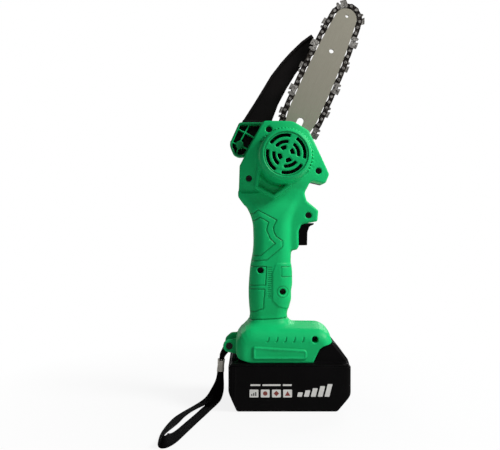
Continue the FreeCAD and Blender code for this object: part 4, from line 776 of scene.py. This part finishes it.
def make_print():
    """Three dashes over four squares with a sign in each, and five rising stripes."""
    face = -PACK_HALF_Y
    pale = []
    for x in (-38.3, -27.7, -17.1, -6.5):
        right = x + SQUARE_WIDTH
        pale.append(rounded([(x, SQUARE_FOOT, 0.7), (right, SQUARE_FOOT, 0.7),
                             (right, SQUARE_TOP, 0.7), (x, SQUARE_TOP, 0.7)]))
    for x, w in ((-37.9, 9.6), (-26.6, 17.4), (-7.2, 8.6)):
        pale.append(rounded([(x + 0.2, 24.6, 0.4), (x + w, 24.6, 0.4),
                             (x + w + 0.4, 26.2, 0.4), (x + 0.6, 26.2, 0.4)]))
    for i in range(5):
        x = 6.6 + 6.5 * i
        top = 18.6 + 1.95 * i
        lean = (top - STRIPE_FOOT) * STRIPE_LEAN
        pale.append(rounded([(x, STRIPE_FOOT, 0.6), (x + STRIPE_WIDTH, STRIPE_FOOT, 0.6),
                             (x + STRIPE_WIDTH + lean, top, 0.6), (x + lean, top, 0.6)]))
    steps = []
    for i in range(3):
        left, right, top = -36.8 + 1.9 * i, -35.7 + 1.9 * i, 17.0 + 0.9 * i
        steps.append([(left, 15.2), (right, 15.2), (right, top), (left, top)])
    turns = np.linspace(0, 2 * math.pi, 25)[:-1]
    disc = [(-23.5 + 2.1 * math.cos(a), 17.5 + 2.1 * math.sin(a)) for a in turns]
    diamond = [(-12.9, 14.9), (-10.3, 17.5), (-12.9, 20.1), (-15.5, 17.5)]
    wedge = [(-4.9, 15.3), (0.3, 15.3), (-2.3, 19.7)]
    return {
        "label_pale": printed("label_pale", pale, face - 0.05, face + 0.25),
        "label_dark": printed("label_dark", steps, face - 0.09, face),
        "label_red": printed("label_red", [disc, diamond, wedge], face - 0.09, face),
    }


labels = make_print()


# ---- fittings on the strap ----------------------------------------
CRIMP_RINGS = [
    # z, how far the sleeve swells there
    (30.0, 0.15), (30.4, 0.3), (31.2, 0.1), (33.4, 0.0), (35.2, -0.35), (36.4, -0.4),
    (37.6, -0.35), (39.6, 0.0), (41.8, 0.1), (42.4, 0.3), (42.7, 0.15),
]
CRIMP_WALLS = [(3.55, 2.3), (3.0, 1.75)]
CRIMP_X = -67.6
CRIMP_LEAN = 0.075
CRIMP_SIDES = 28
TETHER_WIDTH = 5.6
TETHER_WRAP = 3.1


def make_crimp():
    """A flattened metal sleeve, open at both ends, pressed in round its middle."""
    points, faces = [], []
    count, rows = CRIMP_SIDES, len(CRIMP_RINGS)
    for half_x, half_y in CRIMP_WALLS:
        for z, swell in CRIMP_RINGS:
            middle = CRIMP_X + (z - CRIMP_RINGS[0][0]) * CRIMP_LEAN
            for k in range(count):
                a = 2 * math.pi * k / count
                c, d = math.cos(a), math.sin(a)
                x = math.copysign(abs(c) ** 0.55, c) * (half_x + swell * 0.5)
                y = math.copysign(abs(d) ** 0.75, d) * (half_y + swell)
                points.append((middle + x, y, z))
    for layer in (0, 1):
        for i in range(rows - 1):
            for k in range(count):
                m = (k + 1) % count
                a, b = (layer * rows + i) * count, (layer * rows + i + 1) * count
                face = (a + k, a + m, b + m, b + k)
                faces.append(face if layer == 0 else tuple(reversed(face)))
    for i in (0, rows - 1):
        for k in range(count):
            m = (k + 1) % count
            a, b = i * count, (rows + i) * count
            face = (a + m, a + k, b + k, b + m)
            faces.append(face if i == 0 else tuple(reversed(face)))
    return mesh_object("crimp_sleeve", points, faces, "saw", ["strap_crimp"])


def make_tether():
    """The narrow band from the crimp round the lug's pin and back."""
    turns = [math.radians(a) for a in range(150, -55, -15)]
    line = [(-67.9, 41.0), (-66.6, 47.2), (-63.9, 53.0), (-62.2, 56.4)]
    line += [(LUG_X + TETHER_WRAP * math.cos(a), LUG_Z + TETHER_WRAP * math.sin(a)) for a in turns]
    line += [(-60.2, 51.9), (-64.0, 46.6), (-66.0, 41.0)]
    points = np.array([(x, 0.0, z) for x, z in line])
    across = np.tile(np.array([0.0, 1.0, 0.0]), (len(points), 1))
    depths = np.interp(points[:, 2], (41.0, 46.0, 51.0, 54.0, 57.0), (1.8, 2.9, 4.2, 3.0, 1.2))
    widths = np.full(len(points), TETHER_WIDTH)
    tether = ribbon("tether_band", points, across, widths, depths, "saw")
    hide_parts("strap_tether")
    return tether


crimp = make_crimp()
tether = make_tether()


# ---- materials ----------------------------------------------------
def wire(tree, source, target):
    tree.links.new(source, target)


def add(tree, kind, **settings):
    node = tree.nodes.new(kind)
    for name, value in settings.items():
        setattr(node, name, value)
    return node


def noise(tree, where, scale, detail=3.0, rough=0.55):
    node = add(tree, "ShaderNodeTexNoise")
    node.inputs["Scale"].default_value = scale
    node.inputs["Detail"].default_value = detail
    node.inputs["Roughness"].default_value = rough
    wire(tree, where, node.inputs["Vector"])
    return node.outputs["Fac"]


def ramp(tree, value, low, high, a=0.0, b=1.0):
    node = add(tree, "ShaderNodeMapRange")
    node.inputs["From Min"].default_value = low
    node.inputs["From Max"].default_value = high
    node.inputs["To Min"].default_value = a
    node.inputs["To Max"].default_value = b
    wire(tree, value, node.inputs["Value"])
    return node.outputs["Result"]


def mixed(tree, share, a, b):
    node = add(tree, "ShaderNodeMix", data_type="RGBA")
    wire(tree, share, node.inputs["Factor"])
    for socket, colour in ((node.inputs["A"], a), (node.inputs["B"], b)):
        if isinstance(colour, tuple):
            socket.default_value = (*colour, 1.0)
        else:
            wire(tree, colour, socket)
    return node.outputs["Result"]


def maths(tree, operation, a, b=None):
    node = add(tree, "ShaderNodeMath", operation=operation)
    for socket, value in zip(node.inputs, (a, b)):
        if value is None:
            continue
        if isinstance(value, (int, float)):
            socket.default_value = value
        else:
            wire(tree, value, socket)
    return node.outputs[0]


def start(name):
    material = bpy.data.materials.new(name)
    material.use_nodes = True
    tree = material.node_tree
    shader = tree.nodes["Principled BSDF"]
    where = add(tree, "ShaderNodeTexCoord").outputs["Object"]
    return material, tree, shader, where


def bumped(tree, shader, height, distance):
    bump = add(tree, "ShaderNodeBump")
    bump.inputs["Distance"].default_value = distance
    wire(tree, height, bump.inputs["Height"])
    wire(tree, bump.outputs["Normal"], shader.inputs["Normal"])


def plastic(name, base, deep, rough, spread, grain, depth, specular=0.5, groove=None, edge_highlight=None):
    """Moulded plastic: slow colour drift, fine spark texture, scuffs, and where given painted shade in
    grooves and painted highlights on edges.
    """
    material, tree, shader, where = start(name)
    drift = ramp(tree, noise(tree, where, 38.0, 4.0), 0.35, 0.7)
    colour = mixed(tree, drift, base, deep)
    scuff = ramp(tree, noise(tree, where, 240.0, 6.0, 0.7), 0.62, 0.72)
    # painted highlight: sharp edges made lighter, in patches
    if edge_highlight:
        edge = ramp(tree, add(tree, "ShaderNodeNewGeometry").outputs["Pointiness"], 0.53, 0.6, 0.0, 0.6)
        patchy = maths(tree, "MULTIPLY", edge, ramp(tree, noise(tree, where, 420.0, 5.0), 0.35, 0.6))
        colour = mixed(tree, patchy, colour, edge_highlight)
    # painted shade: the groove attribute darkens grooves, recesses and gaps between beads
    if groove:
        line = add(tree, "ShaderNodeAttribute", attribute_name="groove").outputs["Fac"]
        colour = mixed(tree, ramp(tree, line, 0.1, 0.9, 0.0, 0.82), colour, groove)
    wire(tree, colour, shader.inputs["Base Color"])
    dull = ramp(tree, noise(tree, where, 95.0, 5.0), 0.3, 0.7, rough - spread, rough + spread)
    wire(tree, maths(tree, "ADD", dull, maths(tree, "MULTIPLY", scuff, 0.10)), shader.inputs["Roughness"])
    shader.inputs["Specular IOR Level"].default_value = specular
    fine = noise(tree, where, grain, 2.0, 0.5)
    height = maths(tree, "ADD", fine, maths(tree, "MULTIPLY", scuff, -0.5))
    bumped(tree, shader, height, depth)
    return material


def metal(name, base, deep, rough, spread, stretch, depth, tilt=0.0, metallic=1.0, grime_and_glint=None,
          grime_and_glint_share=0.6):
    """Metal with drawn or ground scratches along one way, stains, and patches that are grime on some
    metals and painted glints on others.
    """
    material, tree, shader, where = start(name)
    turned = add(tree, "ShaderNodeMapping")
    turned.inputs["Rotation"].default_value = (0.0, math.radians(-tilt), 0.0)
    wire(tree, where, turned.inputs["Vector"])
    stretched = add(tree, "ShaderNodeMapping")
    stretched.inputs["Scale"].default_value = stretch
    wire(tree, turned.outputs["Vector"], stretched.inputs["Vector"])
    drawn = noise(tree, stretched.outputs["Vector"], 1.0, 5.0, 0.65)
    cloud = noise(tree, where, 70.0, 5.0, 0.6)
    colour = mixed(tree, ramp(tree, drawn, 0.3, 0.7), base, deep)
    colour = mixed(tree, ramp(tree, cloud, 0.45, 0.75, 0.0, 0.5), colour, deep)
    # patches: painted glints on the chain's steels, grime on the crimp
    if grime_and_glint:
        grime_and_glint_patches = noise(tree, where, 520.0, 5.0, 0.7)
        colour = mixed(tree, ramp(tree, grime_and_glint_patches, 0.52, 0.66, 0.0, grime_and_glint_share), colour, grime_and_glint)
    wire(tree, colour, shader.inputs["Base Color"])
    shader.inputs["Metallic"].default_value = metallic
    wire(tree, ramp(tree, drawn, 0.25, 0.75, rough - spread, rough + spread), shader.inputs["Roughness"])
    bumped(tree, shader, drawn, depth)
    return material


def webbing(name, base, deep):
    """Woven nylon: diagonal ribs of thread over the band's own length and width."""
    material, tree, shader, where = start(name)
    along = add(tree, "ShaderNodeAttribute", attribute_name="along").outputs["Fac"]
    across = add(tree, "ShaderNodeAttribute", attribute_name="across").outputs["Fac"]
    up = maths(tree, "ADD", along, maths(tree, "ABSOLUTE", across))
    down = maths(tree, "SUBTRACT", along, maths(tree, "ABSOLUTE", across))
    weft = maths(tree, "SINE", maths(tree, "MULTIPLY", up, 2 * math.pi / 1.1))
    warp = maths(tree, "SINE", maths(tree, "MULTIPLY", down, 2 * math.pi / 0.55))
    ends = maths(tree, "SINE", maths(tree, "MULTIPLY", across, 2 * math.pi / 0.8))
    weave = maths(tree, "ADD", weft, maths(tree, "MULTIPLY", maths(tree, "MULTIPLY", warp, ends), 0.6))
    fuzz = noise(tree, where, 2600.0, 3.0, 0.7)
    height = maths(tree, "ADD", weave, maths(tree, "MULTIPLY", fuzz, 1.2))
    colour = mixed(tree, ramp(tree, height, -1.2, 2.0), deep, base)
    wire(tree, mixed(tree, ramp(tree, noise(tree, where, 55.0, 4.0), 0.4, 0.75, 0.0, 0.5), colour, deep),
         shader.inputs["Base Color"])
    shader.inputs["Roughness"].default_value = 0.82
    shader.inputs["Sheen Weight"].default_value = 0.008
    shader.inputs["Sheen Roughness"].default_value = 0.5
    shader.inputs["Specular IOR Level"].default_value = 0.03
    bumped(tree, shader, height, 0.00012)
    return material


PLASTICS = {
    # two colours, roughness and its spread, grain and its depth; where it matters also the
    # specular level, the colour of painted shade in the grooves and the colour of painted highlights on
    # edges
    "green_plastic": ((0.0045, 0.460, 0.140), (0.0035, 0.410, 0.120), 0.47, 0.05, 1500.0, 0.00003, 0.12,
        (0.0010, 0.10, 0.028), (0.02, 0.54, 0.19)),
    "black_plastic": ((0.0024, 0.0020, 0.0022), (0.0015, 0.0013, 0.0014), 0.42, 0.07, 1700.0, 0.00004,
        0.05, (0.001, 0.001, 0.001), (0.022, 0.020, 0.020)),
    "guard_plastic": ((0.0050, 0.0038, 0.0038), (0.0030, 0.0024, 0.0025), 0.45, 0.07, 1300.0, 0.00005,
        0.09, None, (0.022, 0.018, 0.018)),
    "cell_sleeve": ((0.02, 0.09, 0.25), (0.015, 0.07, 0.2), 0.35, 0.05, 900.0, 0.00002),
    "white_nylon": ((0.72, 0.70, 0.64), (0.66, 0.63, 0.56), 0.5, 0.05, 1200.0, 0.00003),
    "board": ((0.008, 0.10, 0.04), (0.006, 0.07, 0.03), 0.4, 0.06, 2200.0, 0.00002),
    "wire_sleeve": ((0.35, 0.02, 0.015), (0.25, 0.015, 0.012), 0.4, 0.05, 1500.0, 0.00002),
    "label_pale": ((0.72, 0.71, 0.68), (0.64, 0.63, 0.60), 0.55, 0.06, 2600.0, 0.00001),
    "label_dark": ((0.045, 0.04, 0.045), (0.03, 0.03, 0.03), 0.55, 0.06, 2600.0, 0.00001),
    "label_red": ((0.24, 0.035, 0.025), (0.17, 0.03, 0.02), 0.55, 0.06, 2600.0, 0.00001),
}
METALS = {
    # two colours, roughness and its spread, scratches along x, y and z and their depth; where it
    # matters also their tilt in degrees, how metallic it is, and the colour and share of the patches of
    # grime and painted glints
    "bar_steel": ((0.350, 0.330, 0.268), (0.305, 0.288, 0.230), 0.46, 0.07, (2200.0, 2200.0, 60.0),
        0.00001, 24.0, 0.55),
    # its pale patches are painted glints on the dark links
    "chain_steel": ((0.035, 0.030, 0.028), (0.010, 0.008, 0.008), 0.34, 0.12, (900.0, 900.0, 900.0),
        0.00004, 0.0, 1.0, (0.16, 0.14, 0.12), 0.7),
    # its pale colour is painted glints, and the dark patches around them are the steel's own dark tone
    "bright_steel": ((0.60, 0.58, 0.54), (0.020, 0.017, 0.016), 0.24, 0.08, (620.0, 620.0, 620.0),
        0.00003, 24.0, 1.0, (0.012, 0.010, 0.009), 0.9),
    "zinc_steel": ((0.60, 0.60, 0.58), (0.42, 0.42, 0.42), 0.32, 0.08, (1300.0, 300.0, 1300.0),
        0.00003),
    "dark_screw": ((0.035, 0.028, 0.028), (0.015, 0.013, 0.013), 0.4, 0.1, (1500.0, 1500.0, 1500.0),
        0.00003, 0.0, 0.9),
    "gear_steel": ((0.45, 0.44, 0.42), (0.3, 0.29, 0.28), 0.3, 0.08, (1200.0, 300.0, 1200.0), 0.00003),
    "spring_steel": ((0.42, 0.41, 0.40), (0.26, 0.25, 0.24), 0.28, 0.07, (1800.0, 1800.0, 1800.0),
        0.00002),
    "magnet_ferrite": ((0.05, 0.05, 0.055), (0.03, 0.03, 0.032), 0.6, 0.08, (700.0, 700.0, 700.0),
        0.00003, 0.0, 0.3),
    "copper": ((0.75, 0.30, 0.14), (0.5, 0.18, 0.08), 0.3, 0.08, (300.0, 3000.0, 300.0), 0.00006),
    "carbon": ((0.03, 0.03, 0.03), (0.015, 0.015, 0.015), 0.6, 0.1, (900.0, 900.0, 900.0), 0.00003, 0.0,
        0.2),
    "nickel": ((0.62, 0.58, 0.50), (0.45, 0.42, 0.36), 0.3, 0.08, (900.0, 900.0, 2400.0), 0.00002),
    "brass_contact": ((0.72, 0.50, 0.20), (0.5, 0.33, 0.12), 0.3, 0.08, (400.0, 2400.0, 2400.0),
        0.00002),
    # its darker patches are grime
    "crimp_metal": ((0.66, 0.63, 0.56), (0.46, 0.44, 0.39), 0.38, 0.1, (900.0, 900.0, 2600.0), 0.00005,
        0.0, 0.45, (0.3, 0.28, 0.24), 0.4),
}
LOOKS = {name: plastic(name, *look) for name, look in PLASTICS.items()}
LOOKS.update({name: metal(name, *look) for name, look in METALS.items()})
LOOKS["strap_web"] = webbing("strap_web", (0.0036, 0.0033, 0.0036), (0.0014, 0.0013, 0.0015))


def dress(thing, material):
    if not thing.data.materials:
        thing.data.materials.append(material)
    for place in thing.material_slots:
        place.material = material


for name, node in nodes.items():
    if not node.hide_render:
        dress(node, LOOKS[node.material_slots[0].material.name.split(".")[0]])
for thing, look in (
    (shell_near, "green_plastic"), (shell_far, "green_plastic"), (pack_tub, "black_plastic"),
    (pack_cover, "black_plastic"), (crimp, "crimp_metal"), (strap, "strap_web"),
    (tether, "strap_web"), *((label, look) for look, label in labels.items()),
):
    dress(thing, LOOKS[look])


# ---- floor and light ----------------------------------------------
SKY_STRENGTH = 0.11
AIM = Vector((-0.02, 0.0, 0.19))
LAMPS = [
    # name, place, size in metres, watts
    ("key", (0.96, -0.37, 1.06), 0.45, 25.8),
    ("front", (0.20, -1.10, 0.80), 0.8, 1.15),
    ("left", (-0.90, -0.30, 0.40), 0.6, 0.35),
    ("rim", (0.45, 0.9, 0.6), 0.6, 5.0),
    ("back", (-0.7, 0.9, 0.5), 0.6, 2.5),
]


def make_floor():
    """A pale floor that the camera sees fade into the white backdrop away from the saw."""
    floor_mesh = bpy.data.meshes.new("floor")
    floor_mesh.from_pydata([(-6, -3, 0), (6, -3, 0), (6, 9, 0), (-6, 9, 0)], [], [(0, 1, 2, 3)])
    floor = bpy.data.objects.new("floor", floor_mesh)
    floor.location = (0.0, 0.0, -0.0002)
    bpy.context.collection.objects.link(floor)
    material, tree, shader, where = start("floor")
    tint = ramp(tree, noise(tree, where, 14.0, 3.0), 0.3, 0.7)
    wire(tree, mixed(tree, tint, (0.66, 0.66, 0.66), (0.645, 0.645, 0.65)), shader.inputs["Base Color"])
    shader.inputs["Roughness"].default_value = 0.75
    shader.inputs["Specular IOR Level"].default_value = 0.2
    glow = add(tree, "ShaderNodeEmission")
    distance = add(tree, "ShaderNodeVectorMath", operation="LENGTH")
    wire(tree, where, distance.inputs[0])
    share = ramp(tree, distance.outputs["Value"], 0.08, 0.36, 0.85, 1.0)
    seen = maths(tree, "MULTIPLY", share, add(tree, "ShaderNodeLightPath").outputs["Is Camera Ray"])
    blend = add(tree, "ShaderNodeMixShader")
    wire(tree, seen, blend.inputs["Fac"])
    wire(tree, shader.outputs["BSDF"], blend.inputs[1])
    wire(tree, glow.outputs["Emission"], blend.inputs[2])
    wire(tree, blend.outputs["Shader"], tree.nodes["Material Output"].inputs["Surface"])
    dress(floor, material)


def make_world():
    """Weak even light on the saw, and a white backdrop for the camera."""
    world = bpy.data.worlds.new("studio")
    world.use_nodes = True
    tree = world.node_tree
    sky = tree.nodes["Background"]
    backdrop = add(tree, "ShaderNodeBackground")
    for shade, strength in ((sky, SKY_STRENGTH), (backdrop, 1.0)):
        shade.inputs["Color"].default_value = (1.0, 1.0, 1.0, 1.0)
        shade.inputs["Strength"].default_value = strength
    choice = add(tree, "ShaderNodeMixShader")
    wire(tree, add(tree, "ShaderNodeLightPath").outputs["Is Camera Ray"], choice.inputs["Fac"])
    wire(tree, sky.outputs["Background"], choice.inputs[1])
    wire(tree, backdrop.outputs["Background"], choice.inputs[2])
    wire(tree, choice.outputs["Shader"], tree.nodes["World Output"].inputs["Surface"])
    bpy.context.scene.world = world


def make_lamps():
    for name, place, size, power in LAMPS:
        light = bpy.data.lights.new(name, "AREA")
        light.shape = "DISK"
        light.size = size
        light.energy = power
        lamp = bpy.data.objects.new(name, light)
        lamp.location = place
        lamp.rotation_euler = (AIM - Vector(place)).to_track_quat("-Z", "Y").to_euler()
        bpy.context.collection.objects.link(lamp)


make_floor()
make_world()
make_lamps()
bpy.context.scene.view_settings.view_transform = "Standard"
